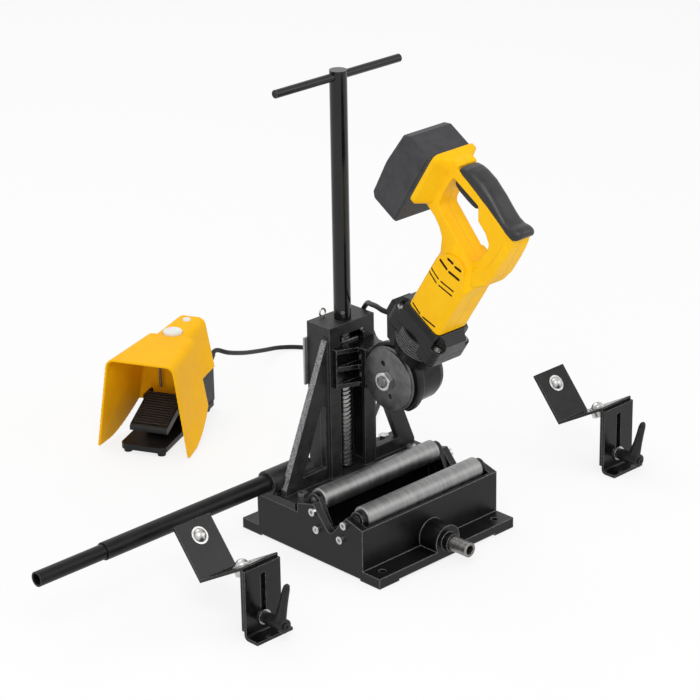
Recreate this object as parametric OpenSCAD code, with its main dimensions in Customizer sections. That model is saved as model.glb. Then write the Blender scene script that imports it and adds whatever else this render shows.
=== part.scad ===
// Cordless bench pipe cutting machine with driven wheel, roller base, foot switch and two pipe supports.
// X runs along the pipe, Y away from the operator, Z up from the floor. Y is zero at the pipe axis. Sizes in mm.

/* [Pipe and rollers] */
// Diameter of the pipe the machine is set for
pipe_d = 108; // [96:1:112]
// Diameter of the steel rollers
roller_d = 30; // [26:1:32]
// Distance of each roller axis from the pipe axis, measured flat
roller_y = 40; // [38:0.5:42]
// Height of the roller axes
roller_z = 78.3; // [76:0.1:82]
// Diameter of the roller axles
axle_d = 10; // [8:0.5:12]
// Thickness of the bearing blocks
block_t = 8; // [6:0.5:10]

/* [Base casting] */
// Length of the base along the pipe
base_len = 253; // [240:1:280]
// Distance from the pipe axis to the front edge of the base
base_front = 92; // [86:1:100]
// Distance from the pipe axis to the rear edge of the base
base_rear = 170; // [166:1:185]
// Distance from the pipe axis to the outside of the trough walls
trough_half = 61; // [59:0.5:62]
// Height of the bench flanges
flange_h = 14.5; // [12:0.5:17]
// Height of the trough walls
wall_h = 72.5; // [68:0.5:75]
// Thickness of the trough walls
wall_t = 11; // [9:0.5:12]
// Height of the foot pads under the base
pad_h = 2.5; // [1.5:0.5:4]
// Height of the pad that carries the upright
pedestal_h = 60; // [54:1:64]
// Diameter of the bench bolt holes
bench_hole_d = 9; // [8:0.5:11]
// Distance of the bench bolt holes from the ends
bench_inset = 20.5; // [18:0.5:26]
// Diameter of the tube in the front boss
spigot_d = 20; // [16:0.5:22]
// Length of that tube outside the boss collar
spigot_out = 29.5; // [24:0.5:40]

/* [Upright] */
// Width of the column
col_w = 82; // [80:1:86]
// Depth of the column
col_d = 43; // [42:0.5:46]
// Distance from the pipe axis to the front of the column
col_front = 83.5; // [83:0.5:86]
// Wall thickness of the column
col_t = 5; // [4:0.5:6]
// Height of the column top
col_top = 287.5; // [285:0.5:300]
// Width of the front slot
slot_w = 44; // [42:0.5:48]
// Thickness of the foot plate
foot_t = 10; // [8:0.5:11]
// Thickness of the gussets
gusset_t = 10; // [8:0.5:12]

/* [Side bar] */
// Outside diameter of the sliding tube
tube_d = 20; // [18:0.5:21]
// Outside diameter of the fixed sleeve
sleeve_d = 24; // [23:0.5:26]
// Distance of the sleeve end from the middle of the base
sleeve_end = 413; // [380:1:430]
// Distance of the tube end from the middle of the base
tube_end = 519; // [480:1:540]
// Length of the sliding tube
tube_len = 290; // [260:1:320]

/* [Feed] */
// Crest diameter of the spindle thread
spindle_d = 20; // [18:0.5:20]
// Diameter of the spindle journal
journal_d = 16; // [14:0.5:17]
// Outside diameter of the handle tube
post_d = 23.2; // [21:0.2:25]
// Height of the top of the handle tube
post_top = 628; // [600:1:660]
// Diameter of the cross bar
bar_d = 11; // [9:0.5:12]
// Length of the cross bar
bar_len = 222; // [180:1:240]

/* [Cutter wheel] */
// Diameter of the cutter wheel
wheel_d = 89; // [84:0.5:92]
// Diameter of the wheel shaft
shaft_d = 16; // [14:0.5:18]
// Size of the wheel nut across the flats
nut_af = 24; // [22:0.5:27]

/* [Drive] */
// Width of the motor housing
motor_w = 56; // [52:1:60]
// Depth of the motor housing
motor_depth = 61; // [58:1:66]
// Thickness of the handle loop
handle_w = 34; // [30:1:38]
// Width of the battery
battery_w = 74; // [66:1:78]
// Height of the battery over its shoe
battery_h = 52; // [44:1:60]

/* [Foot switch] */
// Distance of the switch from the middle of the base, along the pipe
switch_x = -65.7; // [-90:0.1:-40]
// Distance of the front of the switch behind the pipe axis
switch_y = 443.3; // [400:0.1:460]
// Length of the hood
hood_len = 190; // [184:1:200]
// Height of the hood
hood_h = 141; // [132:1:150]
// Wall thickness of the hood
hood_t = 3; // [2.5:0.5:4]
// Width of the pedal
pedal_w = 58; // [52:1:62]
// Diameter of the cord
cord_d = 7; // [6:0.5:8]

/* [Pipe supports] */
// Distance of the left support from the middle of the base
left_support = 307.5; // [280:0.5:340]
// Distance of the right support from the middle of the base
right_support = 367; // [320:1:400]
// Width of the supports
support_w = 60; // [54:1:66]
// Thickness of the support sheet
sheet_t = 4; // [3:0.5:4.5]
// Diameter of the balls
ball_d = 19; // [17:0.5:20]
// Diameter of the clamp studs
stud_d = 8; // [6:0.5:8]

/* [Hidden] */
// running gap on radius, gap between sliding faces and gap between pieces that are fixed together
run_gap = 0.05;
slide_gap = 0.4;
seat_gap = 0.02;
side_gap = 0.5;
// reach of the blocks that cut a form in two
cut_all = 200;

half_len = base_len / 2;
pipe_z = roller_z + sqrt(pow((pipe_d + roller_d) / 2, 2) - roller_y * roller_y);
axis_z = pipe_z + (pipe_d + wheel_d) / 2;
block_in = half_len - wall_t - block_t;
roller_len = 2 * (block_in - side_gap);
trough_in = roller_y + roller_d / 2 + 1;
trough_floor = flange_h + 2;
hump_y = 31;
hump_z = 81;
notch_z = 46;
notch_r = 8;
notch_a = atan((hump_z - notch_z) / hump_y);
notch_c = notch_z + notch_r / cos(notch_a);
pad_len = 36;
rear_flange = 31;
pedestal_rear = base_rear - rear_flange;
boss_z = 25;
boss_r = 22;
collar_r = spigot_d / 2 + 2.5;
collar_len = 10;
spigot_in = 26;
tail_d = spigot_d - 2;
// block screws as places on the end walls
screw_at = [[29.5, 71], [22, 48]];
screw_d = 6;
screw_head = 10.8;

col_back = col_front + col_d;
col_in = col_w / 2 - col_t;
top_t = 8;
foot_z = pedestal_h + foot_t;
slot_top = col_top - 15.5;
foot_y0 = trough_half + 5;
foot_y1 = pedestal_rear - 1;
frame_bolt_d = 8;
frame_bolt_x = half_len - 24;
frame_bolt_y = [foot_y0 + 10.5, foot_y1 - 8];
gusset_y = col_front + 4.5;
gusset_top = col_top - 16;
gusset_low = foot_z + 8;
gusset_out = half_len - 6;
leg_w = 27;
socket_d = sleeve_d + 9;
socket_y = col_back - 15.5;
socket_z = foot_z + socket_d / 2 + 1.5;
socket_out = half_len + 8.5;
sleeve_in = half_len - 58;
cover_t = 3;

spindle_y = col_front + col_t + 12.5;
bush_d = journal_d + 10;
spindle_low = foot_z + 6;
journal_low = col_top - top_t - 0.3;
journal_top = col_top + 52;
post_low = col_top + 0.3;
tee_z = post_top - 8;

carriage_low = axis_z - 30;
carriage_top = axis_z + 25;
nut_d = spindle_d + 8;
nut_len = 40;
block_back = col_front - slide_gap;
mount_y = 50;
mount_x0 = -8;
mount_x1 = 30;
wing_x = col_w / 2 - 4;
rib_t = 6;

wheel_r = wheel_d / 2;
nut_r = nut_af / 2 / cos(30);
drive_x = 9.6;
drive_tilt = 32.5;
nose_x0 = -8.5;
nose_r = 49;
cover_x = 40;
cover_r = 41;
cover_end = 52;
neck_r = 36;
neck_low_r = 24;
neck_s0 = 28;
neck_s1 = 72;
wheel_room = 2;
// the drum is cut flat so that the wheel stands out by the depth of cut
cut_depth = 5;
nose_flat = wheel_r - cut_depth;
lug_s0 = 78;
flange_s1 = 92;
screw_s = 98;
ledge_s = 113;
adapter_s1 = 122;
motor_s1 = 206;
motor_r = 22;
motor_in = 52;
motor_end = 191;
bearing_d = shaft_d + 16;
gear_teeth = 28;
pinion_teeth = 10;
pinion_tip = 10;
pinion_root = 7.6;
pinion_s0 = 20;
pinion_s1 = 36;
lug_x = 24.4;
lug_y = 38;
head_d = 10;
head_h = 6;
head_well = head_d + 2.4;
shoe_y = 98;
// outline of the lug flange, the flat sides of the motor housing above its body and the slope to the handle
lug_plan = round_rect(2 * lug_x + 15.2, 2 * lug_y + 16, 8);
motor_round = 7;
body_top = [[30, 209], [26, 218], [17, 230], [7, 235.5], [-6, 236], [-15, 232.5], [-23, 214], [-31, 201]];
shoulder_form = [[30.5, 190], [33, 211], [31, 226], [22, 238], [4, 240], [-12, 240], [-27, 230], [-34, 214],
    [-30.5, 190]];
// cooling slots: both ends and the width
vent_at = [[[20.9, 214.4], [7.2, 212.4], 3.6], [[12.2, 225.7], [3.8, 226.6], 3.6],
    [[1.5, 212.3], [-15.4, 215.9], 3.6], [[-2.3, 225.8], [-11.1, 228], 3.6], [[26.4, 193.2], [10.2, 190.3], 1.6],
    [[26.4, 186.5], [10.1, 183], 1.6], [[4.8, 190.8], [-17, 195.6], 1.6], [[4.7, 183.5], [-18.2, 188.4], 1.6],
    [[24, 128.2], [8.1, 125.1], 1.8], [[1.3, 125.2], [-19.8, 130.1], 1.8]];
vent_deep = 4;
// handle loop as seen from the side, across and along the motor axis; the grip lies on its outer edge
grip_seat = [[67, 327], [49, 326.5], [32, 325], [9, 322.3], [-11, 319.5], [-32, 316.5], [-46, 317]];
loop_outer = concat([[31, 204], [34, 214], [42, 231], [52, 239], [66, 245], [88, 249], [88, 329], [78, 332],
    [71, 331.5], [70, 327]],
    grip_seat, [[-49, 304], [-50, 292], [-50, 252], [-46, 232], [-36, 217], [-30, 204]]);
loop_hole = [[66, 261], [69, 265], [71, 282], [71, 304], [68, 312], [20, 312], [14, 303], [9, 295], [-8, 291],
    [-20, 283], [-23, 275], [-20, 256], [-14, 243], [-6, 240]];
pad_form = [[-38, 301], [-44, 303], [-47.5, 299], [-49.5, 280], [-49.5, 252], [-45.5, 232.5], [-36, 218.5],
    [-30, 217], [-17, 227], [-23, 243], [-36, 257], [-38.5, 280]];
// sections of the grip: place, lower edge, crown and how much narrower than the widest
grip_rings = [[69.5, 327, 330.5, 6], [67, 327, 334, 1], [58, 326.75, 338.5, 0], [49, 326.5, 340.5, 0],
    [32, 325, 340.8, 0], [9, 322.3, 336, 0.6], [-11, 319.5, 329.6, 1.2], [-22, 317.93, 326.6, 1],
    [-32, 316.5, 327, 0.4], [-40, 316.79, 331, 0], [-46, 317, 332, 0.6], [-50, 320, 330.5, 3],
    [-51.5, 323, 327, 7]];
trigger_w = 24;
trigger_y0 = 21;
trigger_y1 = 67;
trigger_s0 = 299.5;
trigger_s1 = 314;
trigger_travel = 6;
battery_s0 = 205;
battery_s1 = 322;
latch_w = 20;
latch_h = 12;
// gland on the cable box, across and along the motor axis; its seat is turned so that the cord leaves level
gland_at = [52, 62];
gland_seat = 14 * [sin(drive_tilt), cos(drive_tilt)];
box_form = [[0, 40], [38, 40], gland_at - gland_seat, gland_at + gland_seat, [59.5, 92], [0, 92]];
gland_len = 10;
gland_r = cord_d / 2 + 3.5;

fs_place = [switch_x, switch_y];
fs_turn = 26;
fs_side = 5;
fs_feet_h = 6;
fs_deck = 14;
fs_block_x = 112;
fs_block_h = 64;
fs_half = 35;
fs_long = hood_len - 2;
hinge_x = 96;
hinge_z = 46;
pin_d = 5;
shoulder_x = 112;
button_x = 120;
button_d = 28;
plug_x = hood_len - 18;
plug_d = 13;
rod_at = [101, 14];
fs_gland_y = -24;
fs_gland_z = 77;
fs_gland_len = 14;

// support: bench lip, bracket, saddle legs and the balls that carry the pipe
lip_front = -90;
bracket_front = -70;
bracket_h = 95;
bend_r = 7;
slot_low = 13;
slot_high = 84;
stud_z = 23;
saddle_gap = 0.3;
saddle_front = bracket_front + sheet_t + saddle_gap;
support_axis = 134.5;
ball_out = 8;
leg_clear = 54 + ball_out;
front_a = 30;
back_a = 50;
front_n = [sin(front_a), cos(front_a)];
back_n = [-sin(back_a), cos(back_a)];
front_foot = [0, support_axis] - leg_clear * front_n;
back_foot = [0, support_axis] - leg_clear * back_n;
// where the two leg surfaces meet
vee_t = ((back_foot[1] - front_foot[1]) * cos(back_a) - (back_foot[0] - front_foot[0]) * sin(back_a))
    / (-sin(front_a) * cos(back_a) - cos(front_a) * sin(back_a));
vee = front_foot + vee_t * [cos(front_a), -sin(front_a)];
vee_half = (180 - front_a - back_a) / 2;
vee_dir = (front_n + back_n) / norm(front_n + back_n);
vee_low = vee - sheet_t / sin(vee_half) * vee_dir;
back_end = back_foot + 22 * [cos(back_a), sin(back_a)];
leg_z = front_foot[1] - (saddle_front - front_foot[0]) * tan(front_a);
leg_drop = sheet_t / cos(front_a);
cup_d = ball_d + 5;
washer_d = 20;
lever_low = bracket_front - 2.6;
// sections of the lever arm: height over the stud, place before the hub's end, half depth and half width
lever_rings = [[-6, -25, 11, 5.6], [0, -25, 12, 6.4], [6, -25.6, 11, 6.2], [15, -29.5, 8.4, 5.8],
    [27, -33, 6.6, 5.3],
    [41, -36.6, 5.6, 5], [53, -39.6, 5.2, 4.8], [58.6, -41, 4, 3.8], [61, -41.5, 1.8, 1.8]];

// cord: gland on the switch, the floor behind the machine, up the column and over to the drive
function fs_world(p) = [fs_place[0] + p[0] * cos(fs_turn) - (p[1] + fs_side) * sin(fs_turn),
    fs_place[1] + p[0] * sin(fs_turn) + (p[1] + fs_side) * cos(fs_turn), p[2]];
function drive_world(y, s) = [drive_x, y * cos(drive_tilt) - s * sin(drive_tilt),
    axis_z + y * sin(drive_tilt) + s * cos(drive_tilt)];
cord_z = cord_d / 2;
cord_x = col_w / 2 + cord_d / 2 + 0.5;
cord_y = col_back - 8.5;
clip_z = [182, 226];
gland_end = drive_world(gland_at[0], gland_at[1]) + [0, gland_len + 0.4, 0];
cord_path = [fs_world([hood_len + fs_gland_len + 0.5, fs_gland_y, fs_gland_z]),
    fs_world([hood_len + fs_gland_len + 20.5, fs_gland_y, fs_gland_z - 1.5]),
    [switch_x + 238.7, switch_y + 87.7, 61], [switch_x + 288.7, switch_y + 107.7, 40],
    [switch_x + 347.7, switch_y + 132.7, 19], [330, 588, 6], [359, 566, cord_z], [384, 510, cord_z],
    [376, 440, cord_z], [330, 365, cord_z],
    [250, 300, cord_z], [160, 240, cord_z], [112, base_rear + 41, cord_z + 0.5], [84, base_rear + 17, 16],
    [66, base_rear - 4, 36], [54, base_rear - 27, 66], [cord_x + 2.5, cord_y + 8, 98],
    [cord_x, cord_y, 132], [cord_x, cord_y, 166], [cord_x, cord_y, 204], [cord_x, cord_y, 240],
    [cord_x + 0.2, cord_y - 2, col_top - 25], [cord_x + 0.2, cord_y - 10, col_top - 3.5],
    [cord_x - 6, cord_y - 25, col_top + 11.5], [28, 76, col_top + 18], [17, 54, gland_end[2] - 2],
    gland_end + [0, 14, -0.2], gland_end];
cord_steps = 3;
cord_sides = 10;

$fn = 48;

// points of an arc
function arc(c, r, a0, a1, n = 8) = [for (i = [0 : n])
    c + r * [cos(a0 + (a1 - a0) * i / n), sin(a0 + (a1 - a0) * i / n)]];

// rounded rectangle around the middle
function round_rect(w, h, r, n = 6) = concat(
    arc([w / 2 - r, h / 2 - r], r, 0, 90, n), arc([r - w / 2, h / 2 - r], r, 90, 180, n),
    arc([r - w / 2, r - h / 2], r, 180, 270, n), arc([w / 2 - r, r - h / 2], r, 270, 360, n));

// flat outline in Y and Z drawn out along X
module along_x(x0, x1) {
    translate([x0, 0, 0])
        rotate([90, 0, 90])
            linear_extrude(x1 - x0)
                children();
}

// rod along X
module x_rod(x0, x1, d) {
    translate([x0, 0, 0])
        rotate([0, 90, 0])
            cylinder(d = d, h = x1 - x0);
}

// rod along Y
module y_rod(y0, y1, d) {
    translate([0, y1, 0])
        rotate([90, 0, 0])
            cylinder(d = d, h = y1 - y0);
}

// ring turned about the X axis, outline given as radius and X
module x_turned(outline) {
    rotate([0, 90, 0])
        rotate_extrude($fn = 72)
            polygon(outline);
}

// the four corners of a rectangle in X and Y
module corners(x, y) {
    for (i = [-1, 1])
        for (j = [-1, 1])
            translate([i * x, j * y, 0])
                children();
}

// frame of the drive: Z along the motor, Y towards the battery
module drive() {
    translate([drive_x, 0, axis_z])
        rotate([drive_tilt, 0, 0])
            children();
}

// frame of the wheel shaft
module at_shaft() {
    translate([0, 0, axis_z])
        children();
}

// frame of the foot switch
module foot_switch() {
    translate([fs_place[0], fs_place[1], 0])
        rotate([0, 0, fs_turn])
            translate([0, fs_side, 0])
                children();
}

// cast base
module end_wall() {
    polygon(concat([[-trough_half, pad_h], [-trough_half, wall_h], [-hump_y, hump_z]],
        arc([0, notch_c], notch_r, 270 - notch_a, 270 + notch_a),
        [[hump_y, hump_z], [trough_half, wall_h], [trough_half, pad_h]]));
}

module base_casting() {
    color([0.09, 0.09, 0.1])
        difference() {
            union() {
                translate([-half_len, -base_front, pad_h])
                    cube([base_len, base_front + base_rear, flange_h - pad_h]);
                for (x = [-half_len, half_len - pad_len])
                    for (y = [-base_front, base_rear - pad_len])
                        translate([x, y, 0])
                            cube([pad_len, pad_len, pad_h + 1]);
                translate([-pad_len / 2, -pad_len / 2, 0])
                    cube([pad_len, pad_len, pad_h + 1]);
                translate([-half_len, -trough_half, pad_h])
                    cube([base_len, 2 * trough_half, trough_floor - pad_h]);
                for (y = [-trough_half, trough_in])
                    translate([-half_len, y, pad_h])
                        cube([base_len, trough_half - trough_in, wall_h - pad_h]);
                along_x(-half_len, wall_t - half_len)
                    end_wall();
                along_x(half_len - wall_t, half_len)
                    end_wall();
                translate([-half_len, trough_half - 1, pad_h])
                    cube([base_len, pedestal_rear - trough_half + 1, pedestal_h - pad_h]);
                translate([0, 0, boss_z]) {
                    y_rod(-base_front, -trough_in, 2 * boss_r);
                    y_rod(-base_front - collar_len, -trough_in, 2 * collar_r);
                }
            }
            for (x = [-1, 1])
                for (y = [-base_front + (base_front - trough_half) / 2, base_rear - rear_flange / 2])
                    translate([x * (half_len - bench_inset), y, -1])
                        cylinder(d = bench_hole_d, h = flange_h + 2);
            translate([0, 0, boss_z])
                y_rod(-base_front - collar_len - 1, -base_front - collar_len + spigot_in,
                    tail_d + 2 * seat_gap);
            for (y = [-1, 1])
                for (p = screw_at)
                    translate([0, y * p[0], p[1]])
                        for (x = [-1, 1])
                            x_rod(x * (half_len - wall_t / 2) - wall_t / 2 - 1,
                                x * (half_len - wall_t / 2) + wall_t / 2 + 1, screw_d + 0.4);
            for (x = [-1, 1])
                for (y = frame_bolt_y)
                    translate([x * frame_bolt_x, y, pedestal_h - 22])
                        cylinder(d = frame_bolt_d + 2 * seat_gap, h = 23);
        }
}

module front_spigot() {
    color([0.62, 0.62, 0.64])
        translate([0, -base_front - collar_len, boss_z])
            difference() {
                union() {
                    y_rod(-spigot_out, 0, spigot_d);
                    y_rod(-1, spigot_in, tail_d);
                }
                y_rod(-spigot_out - 1, spigot_in - 4, spigot_d - 7);
            }
}

// blocks that carry the roller axles inside the end walls
module bearing_block() {
    difference() {
        hull() {
            translate([0, roller_y, roller_z])
                x_rod(0, block_t, axle_d + 12);
            translate([0, screw_at[1][0], screw_at[1][1]])
                x_rod(0, block_t, 18);
        }
        translate([0, roller_y, roller_z])
            x_rod(-1, block_t + 1, axle_d + 2 * seat_gap);
        for (p = screw_at)
            translate([0, p[0], p[1]])
                x_rod(-1, block_t + 1, screw_d + 2 * seat_gap);
    }
}

module bearing_blocks() {
    color([0.12, 0.12, 0.13])
        for (x = [-half_len + wall_t, block_in])
            translate([x, 0, 0]) {
                bearing_block();
                mirror([0, 1, 0])
                    bearing_block();
            }
}

module roller_axles() {
    color([0.75, 0.75, 0.77])
        for (y = [-roller_y, roller_y])
            translate([0, y, roller_z])
                x_rod(-block_in - block_t, block_in + block_t, axle_d);
}

module roller() {
    difference() {
        x_turned([[axle_d / 2 + run_gap, -roller_len / 2], [roller_d / 2 - 1.5, -roller_len / 2],
            [roller_d / 2, 1.5 - roller_len / 2], [roller_d / 2, roller_len / 2 - 1.5],
            [roller_d / 2 - 1.5, roller_len / 2], [axle_d / 2 + run_gap, roller_len / 2]]);
        for (x = [-roller_len / 2 - 1, roller_len / 2 - 2])
            x_rod(x, x + 3, roller_d - 8);
    }
}

module front_roller() {
    color([0.6, 0.6, 0.62])
        translate([0, -roller_y, roller_z])
            roller();
}

module rear_roller() {
    color([0.6, 0.6, 0.62])
        translate([0, roller_y, roller_z])
            roller();
}

module block_screw() {
    difference() {
        union() {
            x_rod(0, 4.5, screw_head);
            x_rod(-wall_t - block_t, 1, screw_d);
        }
        translate([2.2, 0, 0])
            rotate([0, 90, 0])
                cylinder(d = 5.4, h = 4, $fn = 6);
    }
}

module block_screws() {
    color([0.8, 0.8, 0.82])
        for (s = [0, 1])
            mirror([s, 0, 0])
                for (y = [-1, 1])
                    for (p = screw_at)
                        translate([half_len, y * p[0], p[1]])
                            block_screw();
}

// welded upright
module gusset() {
    edge = (gusset_out - col_w / 2) / (gusset_top - gusset_low);
    hole_x = col_w / 2 + 6;
    hole_low = foot_z + 18;
    hole_wide = col_w / 2 + (gusset_top - hole_low) * edge - leg_w;
    hole_top = gusset_top - (hole_x + leg_w + 7 - col_w / 2) / edge;
    difference() {
        polygon([[col_w / 2 - 1, foot_z - 1], [gusset_out, foot_z - 1], [gusset_out, gusset_low],
            [col_w / 2, gusset_top], [col_w / 2 - 1, gusset_top]]);
        polygon(concat([[hole_x, hole_low]], [[hole_wide, hole_low]],
            arc([hole_x + 4, hole_top], 4, 20, 180)));
    }
}

module upright_frame() {
    color([0.1, 0.1, 0.11])
        difference() {
            union() {
                translate([0, 0, foot_z - 1])
                    linear_extrude(col_top - foot_z + 1)
                        difference() {
                            translate([-col_w / 2, col_front])
                                square([col_w, col_d]);
                            translate([-col_in, col_front + col_t])
                                square([2 * col_in, col_d - 2 * col_t]);
                        }
                translate([-col_w / 2, col_front, col_top - top_t])
                    cube([col_w, col_d, top_t]);
                translate([-half_len, foot_y0, pedestal_h])
                    cube([base_len, foot_y1 - foot_y0, foot_t]);
                for (s = [0, 1])
                    mirror([s, 0, 0])
                        translate([0, gusset_y + gusset_t, 0])
                            rotate([90, 0, 0])
                                linear_extrude(gusset_t)
                                    gusset();
                translate([0, socket_y, socket_z])
                    x_rod(-socket_out, -sleeve_in + 6, socket_d);
                translate([-socket_out + 10, socket_y - 8, foot_z - 1])
                    cube([socket_out - sleeve_in - 12, 16, 8]);
            }
            translate([-slot_w / 2, col_front - 1, foot_z])
                cube([slot_w, col_t + 2, slot_top - foot_z]);
            translate([18, 0, slot_top - 4])
                y_rod(col_front - 1, col_front + col_t + 1, 10);
            translate([0, spindle_y, col_top - top_t - 1])
                cylinder(d = bush_d + 2 * seat_gap, h = top_t + 2);
            translate([0, socket_y, socket_z])
                x_rod(-socket_out - 1, -sleeve_in, sleeve_d + 2 * seat_gap);
            for (x = [-1, 1])
                for (y = frame_bolt_y)
                    translate([x * frame_bolt_x, y, pedestal_h - 1])
                        cylinder(d = frame_bolt_d + 1, h = foot_t + 2);
        }
}

module frame_bolts() {
    color([0.7, 0.7, 0.72])
        for (x = [-1, 1])
            for (y = frame_bolt_y)
                translate([x * frame_bolt_x, y, foot_z]) {
                    cylinder(d = 15, h = 5.3, $fn = 6);
                    translate([0, 0, -foot_t - 18])
                        cylinder(d = frame_bolt_d, h = foot_t + 19);
                }
}

module rear_cover() {
    color([0.7, 0.71, 0.72])
        translate([-col_w / 2 - 5, col_back, col_top - 90.5])
            cube([col_w + 10, cover_t, 67]);
}

module cable_eye() {
    color([0.78, 0.78, 0.8])
        translate([-18, col_back - 6, col_top]) {
            cylinder(d = 6, h = 2);
            translate([0, 0, 7.4])
                rotate([90, 0, 0])
                    rotate_extrude()
                        translate([5, 0])
                            circle(d = 2.6, $fn = 20);
        }
}

module cord_clips() {
    color([0.1, 0.1, 0.11])
        for (z = clip_z)
            translate([0, 0, z - 5])
                difference() {
                    union() {
                        translate([cord_x, cord_y, 0])
                            cylinder(d = cord_d + 5, h = 10);
                        translate([col_w / 2, cord_y - 14, 0])
                            cube([3.5, 18, 10]);
                        translate([0, cord_y - 9.5, 5])
                            x_rod(col_w / 2 + 1, col_w / 2 + 5, 6);
                    }
                    translate([cord_x, cord_y, -1])
                        cylinder(d = cord_d + 0.6, h = 12);
                    translate([0, cord_y - 20, -1])
                        cube([col_w / 2, 40, 12]);
                }
}

module bar_sleeve() {
    color([0.1, 0.1, 0.11])
        translate([0, socket_y, socket_z])
            difference() {
                x_rod(-sleeve_end, -sleeve_in, sleeve_d);
                x_rod(-sleeve_end - 1, -sleeve_in + 1, tube_d + 2 * run_gap);
            }
}

module bar_tube() {
    color([0.13, 0.13, 0.14])
        translate([0, socket_y, socket_z])
            difference() {
                x_rod(-tube_end, tube_len - tube_end, tube_d);
                x_rod(-tube_end - 1, tube_len - tube_end + 1, tube_d - 5);
            }
}

// feed spindle with its handle
module spindle_bush() {
    color([0.72, 0.53, 0.25])
        translate([0, spindle_y, col_top - top_t])
            difference() {
                cylinder(d = bush_d, h = top_t);
                translate([0, 0, -1])
                    cylinder(d = journal_d + 2 * run_gap, h = top_t + 2);
            }
}

module feed_spindle() {
    color([0.66, 0.66, 0.68])
        translate([0, spindle_y, 0]) {
            translate([0, 0, spindle_low])
                cylinder(d = spindle_d, h = journal_low - spindle_low);
            translate([0, 0, journal_low - 1])
                cylinder(d = journal_d, h = journal_top - journal_low + 1);
        }
}

module handle_post() {
    color([0.07, 0.07, 0.08])
        translate([0, spindle_y, 0])
            difference() {
                translate([0, 0, post_low])
                    cylinder(d = post_d, h = post_top - post_low);
                translate([0, 0, post_low - 1])
                    cylinder(d = journal_d + 2 * seat_gap, h = journal_top - post_low + 1);
                translate([0, 0, journal_top - 1])
                    cylinder(d = journal_d, h = tee_z - bar_d - journal_top);
                translate([0, 0, tee_z])
                    x_rod(-post_d, post_d, bar_d + 2 * seat_gap);
            }
}

module tommy_bar() {
    color([0.07, 0.07, 0.08])
        translate([0, spindle_y, tee_z])
            x_turned([[0, -bar_len / 2], [bar_d / 2 - 1, -bar_len / 2], [bar_d / 2, 1 - bar_len / 2],
                [bar_d / 2, bar_len / 2 - 1], [bar_d / 2 - 1, bar_len / 2], [0, bar_len / 2]]);
}

// slide that carries the gear head
module carriage_plan() {
    polygon([[-wing_x, block_back], [-wing_x, block_back - 8], [mount_x0, mount_y + 13], [mount_x0, mount_y],
        [mount_x1, mount_y], [mount_x1, mount_y + 13], [wing_x, block_back - 8], [wing_x, block_back]]);
}

module carriage() {
    inside = col_front + col_t + slide_gap;
    color([0.08, 0.08, 0.09])
        difference() {
            union() {
                translate([-col_in + slide_gap, inside, carriage_low])
                    cube([2 * (col_in - slide_gap), col_d - 2 * (col_t + slide_gap), carriage_top - carriage_low]);
                translate([-slot_w / 2 + slide_gap, block_back - 8, carriage_low])
                    cube([slot_w - 2 * slide_gap, inside - block_back + 9, carriage_top - carriage_low]);
                for (z = [carriage_low, (carriage_low + carriage_top - rib_t) / 2, carriage_top - rib_t])
                    translate([0, 0, z])
                        linear_extrude(rib_t)
                            carriage_plan();
                translate([-wing_x, block_back - 8, carriage_low])
                    cube([2 * wing_x, 8, carriage_top - carriage_low]);
                translate([mount_x0, mount_y, carriage_low])
                    cube([mount_x1 - mount_x0, 8, carriage_top - carriage_low]);
                translate([drive_x - 5, mount_y, carriage_low])
                    cube([10, block_back - mount_y, carriage_top - carriage_low]);
            }
            translate([0, spindle_y, carriage_low - 1])
                cylinder(d = nut_d + 2 * seat_gap, h = nut_len + 1);
            translate([0, spindle_y, carriage_low])
                cylinder(d = spindle_d + 4, h = carriage_top - carriage_low + 1);
            head_places()
                y_rod(mount_y - 1, mount_y + 9, screw_d + 0.4);
        }
}

module head_places() {
    for (x = [mount_x0 + 7, mount_x1 - 7])
        for (z = [(carriage_low * 3 + carriage_top) / 4 + 1, (carriage_low + carriage_top * 3) / 4 - 1])
            translate([x, 0, z])
                children();
}

module head_screws() {
    color([0.75, 0.75, 0.77])
        head_places() {
            y_rod(mount_y - 14, mount_y + 9, screw_d);
            y_rod(mount_y + 8, mount_y + 14, 10);
        }
}

module feed_nut() {
    color([0.72, 0.53, 0.25])
        translate([0, spindle_y, carriage_low])
            difference() {
                cylinder(d = nut_d, h = nut_len);
                translate([0, 0, -1])
                    cylinder(d = spindle_d + 2 * run_gap, h = nut_len + 2);
            }
}

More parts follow.
